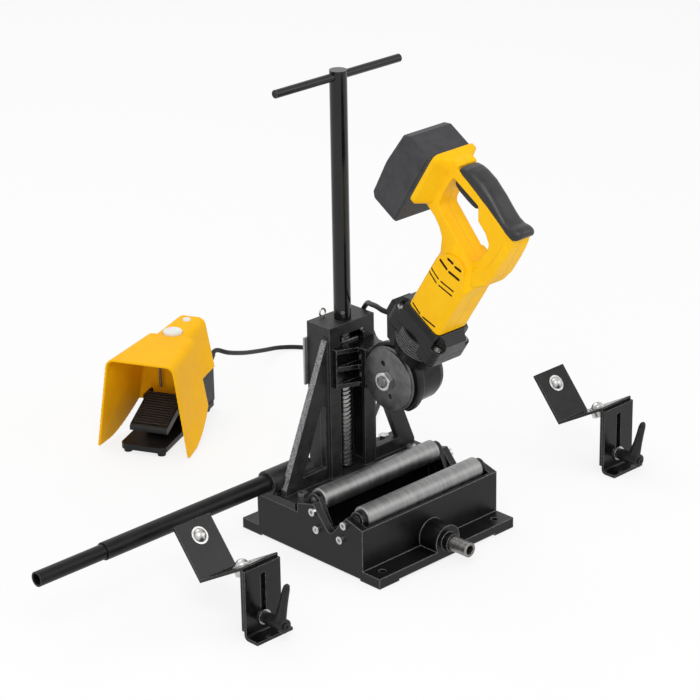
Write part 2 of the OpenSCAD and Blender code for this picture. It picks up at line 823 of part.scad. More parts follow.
// gear head
module gear_housing() {
    color([0.07, 0.07, 0.08])
        difference() {
            union() {
                at_shaft()
                    x_turned([[0, nose_x0], [nose_r - 1.5, nose_x0], [nose_r, nose_x0 + 1.5], [nose_r, 2],
                        [nose_r - 4, 5], [cover_r + 1, 8], [cover_r, cover_x], [0, cover_x]]);
                translate([mount_x0, 0, carriage_low])
                    cube([mount_x1 - mount_x0, mount_y, carriage_top - carriage_low]);
                drive() {
                    translate([0, 0, neck_s0])
                        cylinder(r1 = neck_low_r, r2 = neck_r, h = neck_s1 - neck_s0, $fn = 72);
                    translate([0, 0, neck_s1 - 0.5])
                        cylinder(r = neck_r, h = flange_s1 + 0.5 - neck_s1, $fn = 72);
                    hull() {
                        translate([0, 0, lug_s0])
                            linear_extrude(flange_s1 - lug_s0)
                                polygon(lug_plan);
                        translate([0, 0, lug_s0 - 12])
                            linear_extrude(1)
                                polygon(round_rect(2 * lug_x - 4, 2 * lug_y - 14, 8));
                    }
                    along_x(-17, 17)
                        polygon(box_form);
                }
            }
            at_shaft() {
                x_rod(nose_x0 - 1, 2, bearing_d + 2 * seat_gap);
                x_rod(0, 4, shaft_d + 8);
                x_rod(3, cover_x + 1, 2 * (cover_r - 5));
                x_rod(nose_x0 - 40, nose_x0, wheel_d + 2 * wheel_room);
                x_rod(cover_x, cover_end + 20, 2 * cover_r + 2 * slide_gap);
            }
            drive() {
                cylinder(r = pinion_tip + 2, h = 60);
                translate([0, 0, 52])
                    cylinder(r = motor_r + seat_gap, h = 60);
                corners(lug_x, lug_y)
                    translate([0, 0, flange_s1 - 11])
                        cylinder(d = screw_d + 0.4, h = 12);
            }
            translate([nose_x0 - 1, -2 * nose_r, axis_z - 2 * nose_r])
                cube([cover_end - nose_x0 + 2, 4 * nose_r, 2 * nose_r - nose_flat]);
            head_places()
                y_rod(mount_y - 15, mount_y + 1, screw_d + 2 * seat_gap);
        }
}

module gear_cover() {
    color([0.08, 0.08, 0.09])
        at_shaft()
            difference() {
                x_turned([[0, cover_x], [cover_r, cover_x], [cover_r - 3, cover_end - 4], [cover_r - 9, cover_end],
                    [0, cover_end]]);
                x_rod(cover_x - 1, cover_end - 2, bearing_d + 2 * seat_gap);
                translate([cover_x - 1, -2 * nose_r, -2 * nose_r])
                    cube([cover_end - cover_x + 2, 4 * nose_r, 2 * nose_r - nose_flat]);
            }
}

module shaft_bearing(x0, x1) {
    at_shaft()
        difference() {
            x_rod(x0, x1, bearing_d);
            x_rod(x0 - 1, x1 + 1, shaft_d + 2 * run_gap);
        }
}

module shaft_bearings() {
    color([0.7, 0.7, 0.72]) {
        shaft_bearing(nose_x0, 2);
        shaft_bearing(cover_x, cover_end - 2);
    }
}

module wheel_shaft() {
    color([0.55, 0.55, 0.57])
        at_shaft()
            x_turned([[0, -30.5], [shaft_d / 2 - 1.2, -30.5], [shaft_d / 2, -29.3], [shaft_d / 2, cover_end - 2.5],
                [0, cover_end - 2.5]]);
}

module crown_gear() {
    face = drive_x + pinion_tip + 0.4;
    color([0.5, 0.5, 0.52])
        at_shaft()
            difference() {
                union() {
                    x_rod(face + 1.6, face + 8, 66);
                    for (i = [0 : gear_teeth - 1])
                        rotate([360 * i / gear_teeth, 0, 0])
                            translate([face, 24, -1.4])
                                cube([3, 8.4, 2.8]);
                }
                x_rod(face - 1, face + 9, shaft_d + 2 * seat_gap);
            }
}

module cutter_wheel() {
    color([0.45, 0.45, 0.47])
        at_shaft()
            x_turned([[shaft_d / 2 + seat_gap, -15], [wheel_r - 4, -15], [wheel_r, -13.2], [wheel_r - 2.2, -11.6],
                [wheel_r - 3, -9], [shaft_d / 2 + seat_gap, -9]]);
}

module wheel_flange() {
    color([0.5, 0.5, 0.52])
        at_shaft()
            difference() {
                x_turned([[shaft_d / 2 + seat_gap, -19], [wheel_r - 3.6, -19], [wheel_r - 2.4, -18],
                    [wheel_r - 2.4, -15], [shaft_d / 2 + seat_gap, -15]]);
                for (a = [74, 254])
                    rotate([a, 0, 0])
                        translate([0, 22.5, 0])
                            x_rod(-20, -14, 6);
            }
}

module wheel_nut() {
    color([0.78, 0.78, 0.8])
        at_shaft()
            difference() {
                intersection() {
                    translate([-27.5, 0, 0])
                        rotate([0, 90, 0])
                            rotate([0, 0, 12])
                                cylinder(d = 2 * nut_r, h = 8.5, $fn = 6);
                    x_turned([[0, -28], [nut_af / 2 - 0.8, -28], [nut_r + 1.5, -25.3], [nut_r + 1.5, -21.2],
                        [nut_af / 2 - 0.8, -18.5], [0, -18.5]]);
                }
                x_rod(-29, -18, shaft_d + 2 * seat_gap);
            }
}

module drive_pinion() {
    color([0.55, 0.55, 0.57])
        drive() {
            translate([0, 0, pinion_s0])
                linear_extrude(pinion_s1 - pinion_s0)
                    union() {
                        circle(r = pinion_root);
                        for (i = [0 : pinion_teeth - 1])
                            rotate(360 * (i + 0.5) / pinion_teeth)
                                polygon([[pinion_root - 1, -1.9], [pinion_tip, -0.9], [pinion_tip, 0.9],
                                    [pinion_root - 1, 1.9]]);
                    }
            translate([0, 0, pinion_s1 - 1])
                cylinder(d = 10, h = 27);
        }
}

// drive unit
module motor_unit() {
    color([0.5, 0.5, 0.53])
        drive()
            difference() {
                union() {
                    translate([0, 0, motor_in])
                        cylinder(r = motor_r, h = flange_s1 + 1 - motor_in);
                    translate([0, 0, flange_s1])
                        cylinder(r = motor_r - 1, h = motor_end - flange_s1);
                }
                translate([0, 0, motor_in - 1])
                    cylinder(d = 10 + 2 * run_gap, h = 14);
            }
}

module motor_adapter() {
    color([0.09, 0.09, 0.1])
        drive()
            difference() {
                union() {
                    translate([0, 0, flange_s1])
                        linear_extrude(ledge_s - flange_s1)
                            polygon(lug_plan);
                    hull() {
                        translate([0, 0, ledge_s - 1])
                            linear_extrude(1)
                                polygon(lug_plan);
                        translate([0, 0, adapter_s1 - 1])
                            linear_extrude(1)
                                polygon(round_rect(motor_w + 3, motor_depth + 3, motor_round));
                    }
                }
                translate([0, 0, flange_s1 - 1])
                    cylinder(r = motor_r + seat_gap, h = adapter_s1 - flange_s1 + 2);
                corners(lug_x, lug_y)
                    translate([0, 0, flange_s1 - 1])
                        cylinder(d = screw_d + 2 * seat_gap, h = screw_s - flange_s1 + 2);
                for (i = [0, 1])
                    for (j = [0, 1])
                        mirror([i, 0, 0])
                            mirror([0, j, 0])
                                translate([lug_x, lug_y, screw_s])
                                    screw_well();
            }
}

// well over a screw head, open to the corner above the head
module screw_well() {
    cylinder(d = head_well, h = adapter_s1 - screw_s + 1);
    translate([-head_well / 2, 0, head_h - 1])
        cube([head_well + 20, 20, adapter_s1 - screw_s]);
    translate([0, -head_well / 2, head_h - 1])
        cube([20, head_well + 20, adapter_s1 - screw_s]);
}

module adapter_screws() {
    color([0.8, 0.8, 0.82])
        drive()
            corners(lug_x, lug_y)
                difference() {
                    union() {
                        translate([0, 0, screw_s])
                            cylinder(d = head_d, h = head_h);
                        translate([0, 0, flange_s1 - 10])
                            cylinder(d = screw_d, h = screw_s - flange_s1 + 11);
                    }
                    translate([0, 0, screw_s + head_h - 3])
                        cylinder(d = 5.6, h = 4, $fn = 6);
                }
}

// cooling slots in one side of the motor housing
module vents() {
    for (v = vent_at)
        translate(v[0])
            rotate(atan2(v[1][1] - v[0][1], v[1][0] - v[0][0]))
                translate([0, -v[2] / 2])
                    square([norm(v[1] - v[0]), v[2]]);
}

module housing_form() {
    difference() {
        union() {
            intersection() {
                translate([0, 0, adapter_s1])
                    linear_extrude(cut_all)
                        polygon(round_rect(motor_w, motor_depth, motor_round));
                along_x(-motor_w, motor_w)
                    polygon(concat([[-motor_depth, adapter_s1 - 1], [motor_depth, adapter_s1 - 1],
                        [motor_depth, motor_s1]], body_top, [[-motor_depth, motor_s1 - 5]]));
            }
            hull() {
                along_x(3 - motor_w / 2, motor_w / 2 - 3)
                    polygon(concat([[3 - motor_depth / 2, motor_s1 - 16], [motor_depth / 2 - 3, motor_s1 - 16]],
                        [for (q = body_top) [0.9 * q[0], q[1] - 3]]));
                along_x(-handle_w / 2, handle_w / 2)
                    polygon(shoulder_form);
            }
            along_x(-handle_w / 2, handle_w / 2)
                difference() {
                    polygon(loop_outer);
                    polygon(loop_hole);
                }
            along_x(-handle_w / 2 - 3, handle_w / 2 + 3)
                polygon(pad_form);
            hull() {
                translate([0, shoe_y, 289])
                    rotate([90, 0, 0])
                        linear_extrude(7)
                            polygon(round_rect(battery_w, 84, 9));
                translate([0, 78, 290])
                    rotate([90, 0, 0])
                        linear_extrude(1)
                            polygon(round_rect(handle_w, 70, 9));
            }
        }
        translate([0, 0, adapter_s1 - 1])
            cylinder(r = motor_r + seat_gap, h = 71);
        translate([-trigger_w / 2 - slide_gap, trigger_y0 - slide_gap, trigger_s0 - 4])
            cube([trigger_w + 2 * slide_gap, trigger_y1 - trigger_y0 + 2 * slide_gap,
                trigger_s1 + trigger_travel + 1 - trigger_s0 + 4]);
        for (m = [0, 1])
            mirror([m, 0, 0])
                along_x(motor_w / 2 - vent_deep, motor_w / 2 + 5)
                    vents();
    }
}

module housing_left() {
    color([0.95, 0.7, 0.06])
        drive()
            intersection() {
                housing_form();
                translate([-cut_all, -cut_all, 0])
                    cube([cut_all, 2 * cut_all, 2 * cut_all]);
            }
}

module housing_right() {
    color([0.95, 0.7, 0.06])
        drive()
            intersection() {
                housing_form();
                translate([0, -cut_all, 0])
                    cube([cut_all, 2 * cut_all, 2 * cut_all]);
            }
}

// solid through rings of points, each with the same number of points
module loft(rings) {
    n = len(rings[0]);
    last = len(rings) - 1;
    polyhedron([for (r = rings) each r], concat([[for (k = [0 : n - 1]) k]],
        [for (i = [0 : last - 1]) for (k = [0 : n - 1]) [i * n + k, (i + 1) * n + k, i * n + (k + 1) % n]],
        [for (i = [0 : last - 1]) for (k = [0 : n - 1])
            [i * n + (k + 1) % n, (i + 1) * n + k, (i + 1) * n + (k + 1) % n]],
        [[for (k = [n - 1 : -1 : 0]) last * n + k]]));
}

module grip_cover() {
    color([0.16, 0.16, 0.17])
        drive()
            loft([for (g = grip_rings) let (half = handle_w / 2 + 1 - g[3])
                [for (k = [0 : 14]) let (a = 180 * k / 14)
                    [half * sign(cos(a)) * pow(abs(cos(a)), 0.6), g[0],
                        g[1] + (g[2] - g[1]) * pow(sin(a), 0.75)]]]);
}

module trigger() {
    long = trigger_y1 - trigger_y0;
    color([0.12, 0.12, 0.13])
        drive()
            translate([0, trigger_y0, trigger_s0])
                along_x(-trigger_w / 2, trigger_w / 2)
                    polygon([[0, trigger_s1 - trigger_s0], [0, 4], [3, 1.4], [10, 0.3], [20, 0], [long - 12, 0.4],
                        [long - 4, 2], [long, 6], [long, trigger_s1 - trigger_s0]]);
}

module battery_pack() {
    low = shoe_y + 0.3;
    high = shoe_y + battery_h;
    color([0.25, 0.25, 0.27])
        drive()
            difference() {
                intersection() {
                    along_x(-battery_w / 2, battery_w / 2)
                        polygon([[low, battery_s0 + 3], [low, battery_s1], [high - 10, battery_s1],
                            [high, battery_s1 - 6], [high + 4, (battery_s0 + battery_s1) / 2],
                            [high, battery_s0 + 6], [high - 6, battery_s0], [low + 3, battery_s0]]);
                    translate([0, low + 40, battery_s0 - 1])
                        linear_extrude(battery_s1 - battery_s0 + 2)
                            polygon(round_rect(battery_w, 2 * (high - low) - 16, 10));
                }
                translate([-latch_w / 2 - slide_gap, shoe_y + 8 - slide_gap, battery_s0 - 1])
                    cube([latch_w + 2 * slide_gap, latch_h + 2 * slide_gap, 11]);
            }
}

module battery_latch() {
    color([0.7, 0.16, 0.12])
        drive()
            translate([-latch_w / 2, shoe_y + 8, battery_s0 - 3])
                cube([latch_w, latch_h, 8]);
}

module drive_gland() {
    color([0.1, 0.1, 0.11])
        drive()
            translate([0, gland_at[0], gland_at[1]])
                rotate([-90 - drive_tilt, 0, 0]) {
                    cylinder(r = gland_r + 1.5, h = 5);
                    cylinder(r1 = gland_r, r2 = gland_r - 1.5, h = gland_len);
                }
}

// foot switch
module fs_base() {
    color([0.11, 0.11, 0.12])
        foot_switch()
            difference() {
                union() {
                    translate([fs_long / 2 - 2, 0, fs_feet_h])
                        linear_extrude(fs_deck - fs_feet_h)
                            polygon(round_rect(fs_long + 4, 2 * fs_half, 10));
                    translate([fs_block_x, 1 - fs_half, fs_deck - 1])
                        cube([fs_long - fs_block_x - 2, 2 * fs_half - 2, fs_block_h - fs_deck + 1]);
                    for (y = [-fs_half, fs_half - 4])
                        translate([84, y, fs_deck - 1])
                            cube([fs_block_x - 83, 4, hinge_z + 9 - fs_deck]);
                }
                translate([hinge_x, 0, hinge_z])
                    y_rod(-fs_half - 1, fs_half + 1, pin_d + 2 * seat_gap);
            }
}

module fs_feet() {
    color([0.05, 0.05, 0.05])
        foot_switch()
            translate([fs_long / 2 - 6, 0, 0])
                corners(fs_long / 2 - 12, fs_half - 9)
                    cylinder(d1 = 12, d2 = 14, h = fs_feet_h);
}

module fs_pin() {
    color([0.75, 0.75, 0.77])
        foot_switch()
            translate([hinge_x, 0, hinge_z])
                y_rod(-fs_half, fs_half, pin_d);
}

module fs_pedal() {
    tread = atan(26 / 70);
    color([0.12, 0.12, 0.13])
        foot_switch()
            difference() {
                union() {
                    translate([0, pedal_w / 2, 0])
                        rotate([90, 0, 0])
                            linear_extrude(pedal_w)
                                polygon([[20, 26], [20, 32], [23, 35], [86, 58], [96, 55], [96, 39], [84, 46],
                                    [24, 25]]);
                    translate([hinge_x, 0, hinge_z])
                        y_rod(-pedal_w / 2, pedal_w / 2, 17);
                    for (i = [1 : 13])
                        translate([23 + 4.8 * i, 3 - pedal_w / 2, 35 + 4.8 * i * 23 / 63 - 1])
                            rotate([0, -tread, 0])
                                cube([2.2, pedal_w - 6, 2.4]);
                }
                translate([hinge_x, 0, hinge_z])
                    y_rod(-pedal_w, pedal_w, pin_d + 2 * run_gap);
            }
}

module hood_slice(low, low_z, top, h, r) {
    rotate([90, 0, 90])
        linear_extrude(1)
            polygon(concat([[low, low_z]], arc([top - r, h - r], r, 10, 90), arc([r - top, h - r], r, 90, 170),
                [[-low, low_z]]));
}

module hood_front(t) {
    hull() {
        translate([-t, 0, 0])
            hood_slice(72 - t, 3, 54 - t, hood_h - t, 14 - t);
        translate([shoulder_x - 1 - t, 0, 0])
            hood_slice(62 - t, 3, 40 - t, hood_h - t, 14 - t);
    }
}

module hood_rear(t) {
    hull() {
        translate([shoulder_x - 20, 0, 0])
            hood_slice(fs_half + 3 - t, fs_block_h, 29 - t, hood_h - t, 12 - t);
        translate([hood_len - 1 - t, 0, 0])
            hood_slice(fs_half - t, fs_block_h, 23 - t, hood_h - t, 12 - t);
    }
}

module fs_hood() {
    color([0.98, 0.68, 0.07])
        foot_switch()
            difference() {
                union() {
                    hood_front(0);
                    hood_rear(0);
                }
                hood_front(hood_t);
                hood_rear(hood_t);
                translate([0, cut_all, 0])
                    rotate([90, 0, 0])
                        linear_extrude(2 * cut_all)
                            polygon(concat([[24, -1]],
                                [for (i = [0 : 8]) [30 + (shoulder_x - 30) * i / 8, 3 + 34 * pow(i / 8, 1.6)]],
                                [[shoulder_x + 1, 37], [shoulder_x + 1, fs_block_h], [cut_all, fs_block_h],
                                [cut_all, -1]]));
                translate([-5, -fs_half - 3, -1])
                    cube([shoulder_x + 20, 2 * fs_half + 6, fs_block_h + 1]);
                translate([button_x, 0, hood_h - 20])
                    cylinder(d = button_d + 2 * slide_gap, h = 30);
                translate([plug_x, 0, hood_h - 20])
                    cylinder(d = 6 + 2 * seat_gap, h = 30);
            }
}

module fs_button() {
    color([0.93, 0.92, 0.88])
        foot_switch()
            translate([button_x, 0, hood_h - 14]) {
                cylinder(d = button_d, h = 17);
                translate([0, 0, 16])
                    cylinder(d1 = button_d, d2 = button_d - 3, h = 2.5);
            }
}

module fs_plug() {
    color([0.93, 0.92, 0.88])
        foot_switch()
            translate([plug_x, 0, hood_h]) {
                cylinder(d1 = plug_d, d2 = plug_d - 2, h = 2.5);
                translate([0, 0, -6])
                    cylinder(d = 6, h = 7);
            }
}

module fs_rod() {
    color([0.75, 0.75, 0.77])
        foot_switch()
            translate([rod_at[0], rod_at[1], 62])
                cylinder(d = 4, h = hood_h - hood_t - 62);
}

module fs_gland() {
    color([0.1, 0.1, 0.11])
        foot_switch()
            translate([hood_len, fs_gland_y, fs_gland_z]) {
                x_rod(0, 6, 2 * gland_r + 2);
                x_rod(0, fs_gland_len, 2 * gland_r - 2);
            }
}

// cord as one swept tube
function spline(a, b, c, d, t) = 0.5 * (2 * b + (c - a) * t + (2 * a - 5 * b + 4 * c - d) * t * t
    + (3 * b - a - 3 * c + d) * t * t * t);
cord_last = len(cord_path) - 1;
cord_line = concat([for (i = [0 : cord_last - 1]) for (k = [0 : cord_steps - 1])
    spline(cord_path[max(i - 1, 0)], cord_path[i], cord_path[i + 1], cord_path[min(i + 2, cord_last)],
        k / cord_steps)], [cord_path[cord_last]]);
cord_rings = len(cord_line);
cord_ref = [0.15, 0.35, 0.92];
function unit(v) = v / norm(v);
function cord_dir(i) = unit(cord_line[min(i + 1, cord_rings - 1)] - cord_line[max(i - 1, 0)]);

module foot_cord() {
    points = [for (i = [0 : cord_rings - 1])
        let (t = cord_dir(i), u = unit(cross(t, cord_ref)), v = cross(t, u))
        for (k = [0 : cord_sides - 1])
            cord_line[i] + cord_d / 2 * (u * cos(360 * k / cord_sides) + v * sin(360 * k / cord_sides))];
    faces = concat(
        [[for (k = [0 : cord_sides - 1]) k]],
        [for (i = [0 : cord_rings - 2]) for (k = [0 : cord_sides - 1])
            [i * cord_sides + k, (i + 1) * cord_sides + k, i * cord_sides + (k + 1) % cord_sides]],
        [for (i = [0 : cord_rings - 2]) for (k = [0 : cord_sides - 1])
            [i * cord_sides + (k + 1) % cord_sides, (i + 1) * cord_sides + k,
                (i + 1) * cord_sides + (k + 1) % cord_sides]],
        [[for (k = [cord_sides - 1 : -1 : 0]) (cord_rings - 1) * cord_sides + k]]);
    color([0.06, 0.06, 0.06])
        polyhedron(points, faces);
}

// pipe supports
module support_feet() {
    color([0.1, 0.1, 0.11])
        for (x = [-left_support, right_support])
            translate([x, 0, 0])
                difference() {
                    along_x(-support_w / 2, support_w / 2)
                        polygon(concat([[lip_front, 0]],
                            arc([bracket_front + sheet_t - bend_r, bend_r], bend_r, 270, 360),
                            [[bracket_front + sheet_t, bracket_h], [bracket_front, bracket_h]],
                            arc([bracket_front + sheet_t - bend_r, bend_r], bend_r - sheet_t, 360, 270),
                            [[lip_front, sheet_t]]));
                    translate([-stud_d / 2 - 0.3, bracket_front - 1, slot_low + stud_d])
                        cube([stud_d + 0.6, sheet_t + 2, slot_high - slot_low - stud_d]);
                    translate([0, 0, slot_low + stud_d])
                        y_rod(bracket_front - 1, bracket_front + sheet_t + 1, stud_d + 0.6);
                }
}

module saddle() {
    difference() {
        along_x(-support_w / 2, support_w / 2)
            polygon([[saddle_front, stud_z - 12], [saddle_front, leg_z - 2], [saddle_front + 2, leg_z - 1.2], vee,
                back_end, back_end - sheet_t * back_n, vee_low,
                [saddle_front + sheet_t, leg_z - leg_drop - sheet_t * tan(front_a)],
                [saddle_front + sheet_t, stud_z - 12]]);
        translate([0, 0, stud_z])
            y_rod(saddle_front - 1, saddle_front + sheet_t + 1, stud_d + 2 * seat_gap);
        translate([0, front_foot[0], front_foot[1]])
            rotate([-front_a, 0, 0])
                translate([0, 0, -10])
                    cylinder(d = cup_d + 2 * seat_gap, h = 20);
        translate([0, back_foot[0], back_foot[1]])
            rotate([back_a, 0, 0])
                translate([0, 0, -10])
                    cylinder(d = cup_d + 2 * seat_gap, h = 20);
    }
}

module ball_unit() {
    difference() {
        union() {
            translate([0, 0, -12])
                cylinder(d = cup_d, h = 13);
            translate([0, 0, -13.5])
                cylinder(d1 = cup_d - 6, d2 = cup_d, h = 2.5);
        }
        translate([0, 0, ball_out - ball_d / 2])
            sphere(d = ball_d + 0.2);
    }
    translate([0, 0, ball_out - ball_d / 2])
        sphere(d = ball_d);
}

module ball_units() {
    translate([0, front_foot[0], front_foot[1]])
        rotate([-front_a, 0, 0])
            ball_unit();
    translate([0, back_foot[0], back_foot[1]])
        rotate([back_a, 0, 0])
            ball_unit();
}

module clamp_stud() {
    translate([0, 0, stud_z]) {
        y_rod(bracket_front - 34, saddle_front + sheet_t + 1, stud_d);
        y_rod(saddle_front + sheet_t, saddle_front + sheet_t + 5, stud_d + 5);
        y_rod(bracket_front - 2.3, bracket_front - 0.3, washer_d);
    }
}

module clamp_lever() {
    difference() {
        union() {
            translate([0, lever_low, stud_z])
                rotate([90, 0, 0])
                    cylinder(d1 = 15, d2 = 19, h = 37);
            loft([for (r = lever_rings) [for (k = [0 : 13])
                [r[3] * cos(360 * k / 14), lever_low + r[1] + r[2] * sin(360 * k / 14), stud_z + r[0]]]]);
        }
        translate([0, 0, stud_z])
            y_rod(bracket_front - 35, lever_low + 1, stud_d + 2 * run_gap);
    }
}

module saddle_left() {
    color([0.1, 0.1, 0.11])
        translate([-left_support, 0, 0])
            saddle();
}

module saddle_right() {
    color([0.1, 0.1, 0.11])
        translate([right_support, 0, 0])
            saddle();
}

module ball_units_left() {
    color([0.72, 0.72, 0.74])
        translate([-left_support, 0, 0])
            ball_units();
}

module ball_units_right() {
    color([0.72, 0.72, 0.74])
        translate([right_support, 0, 0])
            ball_units();
}

module clamp_stud_left() {
    color([0.75, 0.75, 0.77])
        translate([-left_support, 0, 0])
            clamp_stud();
}

module clamp_stud_right() {
    color([0.75, 0.75, 0.77])
        translate([right_support, 0, 0])
            clamp_stud();
}

module clamp_lever_left() {
    color([0.1, 0.1, 0.11])
        translate([-left_support, 0, 0])
            clamp_lever();
}

module clamp_lever_right() {
    color([0.1, 0.1, 0.11])
        translate([right_support, 0, 0])
            clamp_lever();
}

base_casting();
front_spigot();
bearing_blocks();
roller_axles();
front_roller();
rear_roller();
block_screws();
upright_frame();
frame_bolts();
rear_cover();
cable_eye();
cord_clips();
bar_sleeve();
bar_tube();
spindle_bush();
feed_spindle();
handle_post();
tommy_bar();
carriage();
feed_nut();
gear_housing();
gear_cover();
head_screws();
shaft_bearings();
wheel_shaft();
crown_gear();
cutter_wheel();
wheel_flange();
wheel_nut();
drive_pinion();
motor_unit();
motor_adapter();
adapter_screws();
housing_left();
housing_right();
grip_cover();
trigger();
battery_pack();
battery_latch();
drive_gland();
fs_base();
fs_feet();
fs_pedal();
fs_pin();
fs_hood();
fs_button();
fs_plug();
fs_rod();
fs_gland();
foot_cord();
support_feet();
saddle_left();
saddle_right();
ball_units_left();
ball_units_right();
clamp_stud_left();
clamp_stud_right();
clamp_lever_left();
clamp_lever_right();
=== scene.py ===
import math
import bpy
from mathutils import Matrix, Vector


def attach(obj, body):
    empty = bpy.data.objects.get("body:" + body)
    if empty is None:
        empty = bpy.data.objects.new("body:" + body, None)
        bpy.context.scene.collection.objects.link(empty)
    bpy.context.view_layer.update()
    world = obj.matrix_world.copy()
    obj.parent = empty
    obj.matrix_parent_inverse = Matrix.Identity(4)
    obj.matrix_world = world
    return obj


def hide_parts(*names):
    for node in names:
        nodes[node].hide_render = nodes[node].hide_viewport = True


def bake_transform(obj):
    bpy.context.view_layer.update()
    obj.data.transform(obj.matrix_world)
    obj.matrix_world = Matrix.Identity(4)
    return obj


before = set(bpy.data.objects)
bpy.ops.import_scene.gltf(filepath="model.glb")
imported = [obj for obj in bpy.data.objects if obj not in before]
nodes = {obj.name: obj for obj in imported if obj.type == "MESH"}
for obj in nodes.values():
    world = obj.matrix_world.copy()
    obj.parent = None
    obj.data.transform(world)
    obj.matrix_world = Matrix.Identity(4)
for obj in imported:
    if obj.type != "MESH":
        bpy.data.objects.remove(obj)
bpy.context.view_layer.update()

# Studio
# A pale floor under three soft box lamps in a white surround, seen through a long
# lens from the front left corner and a little above.
mm = 0.001
scene = bpy.context.scene
scene.view_settings.view_transform = "Standard"


def aim(thing, place, right, up):
    """Puts a camera or lamp at a place, with its own right and up directions."""
    x, y = Vector(right).normalized(), Vector(up).normalized()
    turn = Matrix((x, y, x.cross(y))).transposed().to_4x4()
    thing.matrix_world = Matrix.Translation(place) @ turn


eye_place = (-2.3012, -2.3103, 1.6256)
eye_right = (0.7169, -0.6969, -0.0155)
eye_up = (0.2778, 0.2652, 0.9234)
eye = bpy.data.objects.new("eye", bpy.data.cameras.new("eye"))
eye.data.lens = 139.6
eye.data.sensor_width = 36.0
eye.data.sensor_fit = "HORIZONTAL"
scene.collection.objects.link(eye)
aim(eye, eye_place, eye_right, eye_up)
scene.camera = eye

# each soft box: place, side length and strength in watts
soft_boxes = {"key_box": ((-1.5, -1.3, 2.3), 1.5, 31.0),
              "fill_box": ((1.6, -2.0, 1.5), 1.6, 12.0),
              "back_box": ((0.3, 2.0, 2.4), 1.8, 16.0)}
lit_point = Vector((0.0, 0.15, 0.15))
for name, (place, side, watts) in soft_boxes.items():
    lamp = bpy.data.objects.new(name, bpy.data.lights.new(name, "AREA"))
    lamp.data.shape = "SQUARE"
    lamp.data.size = side
    lamp.data.energy = watts
    scene.collection.objects.link(lamp)
    away = (Vector(place) - lit_point).normalized()
    right = Vector((0, 0, 1)).cross(away)
    aim(lamp, place, right, away.cross(right))


def wire(tree, kind, inputs=None, **settings):
    """Adds a shader node, sets its options, and joins or sets its inputs by name or number."""
    made = tree.nodes.new("ShaderNode" + kind)
    for key, value in settings.items():
        setattr(made, key, value)
    for key, value in (inputs or {}).items():
        if isinstance(value, bpy.types.NodeSocket):
            tree.links.new(value, made.inputs[key])
        else:
            made.inputs[key].default_value = value
    return made


def ranged(tree, value, low=0.0, high=1.0, to_low=0.0, to_high=1.0):
    """Stretches the part of a value between low and high over another range."""
    return wire(tree, "MapRange", {"Value": value, 1: low, 2: high, 3: to_low, 4: to_high}).outputs[0]


def seen_rays(tree):
    """1 for rays that show the surround itself: straight to the camera, mirrored or through glass."""
    ray = wire(tree, "LightPath").outputs
    first = wire(tree, "Math", {0: ray["Is Camera Ray"], 1: ray["Is Glossy Ray"]}, operation="MAXIMUM")
    both = wire(tree, "Math", {0: first.outputs[0], 1: ray["Is Transmission Ray"]}, operation="MAXIMUM")
    return both.outputs[0]


room_light = 0.64
surround = bpy.data.worlds.new("surround")
surround.use_nodes = True
sky = surround.node_tree
level = ranged(sky, seen_rays(sky), to_low=room_light)
sky.links.new(level, sky.nodes["Background"].inputs["Strength"])
sky.nodes["Background"].inputs["Color"].default_value = (1, 1, 1, 1)
scene.world = surround

floor_size, floor_z = 14.0, -0.0006
paper_white, paper_glow = 0.93, 0.8
bpy.ops.object.select_all(action="DESELECT")
bpy.ops.mesh.primitive_plane_add(size=floor_size, location=(0, 0, floor_z))
floor = bpy.context.object
floor.name = "studio_floor"
paper = bpy.data.materials.new("studio_paper")
paper.use_nodes = True
tree = paper.node_tree
matt = tree.nodes["Principled BSDF"]
matt.inputs["Base Color"].default_value = (paper_white, paper_white, paper_white, 1)
matt.inputs["Roughness"].default_value = 1.0
matt.inputs["Specular IOR Level"].default_value = 0.0
white = wire(tree, "Emission", {"Color": (1, 1, 1, 1), "Strength": 1.0})
share = ranged(tree, seen_rays(tree), to_high=paper_glow)
mixed = wire(tree, "MixShader", {0: share, 1: matt.outputs[0], 2: white.outputs[0]})
tree.links.new(mixed.outputs[0], tree.nodes["Material Output"].inputs["Surface"])
floor.data.materials.append(paper)


# Switch lead
# Round black rubber lead, 7 mm, from the foot switch along the floor, up the right side
# of the column in clips, and across to the gear head, with slack enough to follow it.
def tone(red, green, blue):
    """A colour read as screen values from 0 to 255, turned into light values."""
    parts = [v / 255 for v in (red, green, blue)]
    return (*[v / 12.92 if v < 0.04045 else ((v + 0.055) / 1.055) ** 2.4 for v in parts], 1.0)


def mixed_colour(tree, share, first, second):
    """Goes from the first colour to the second by a share from 0 to 1."""
    return wire(tree, "Mix", {0: share, 6: first, 7: second}, data_type="RGBA").outputs[2]


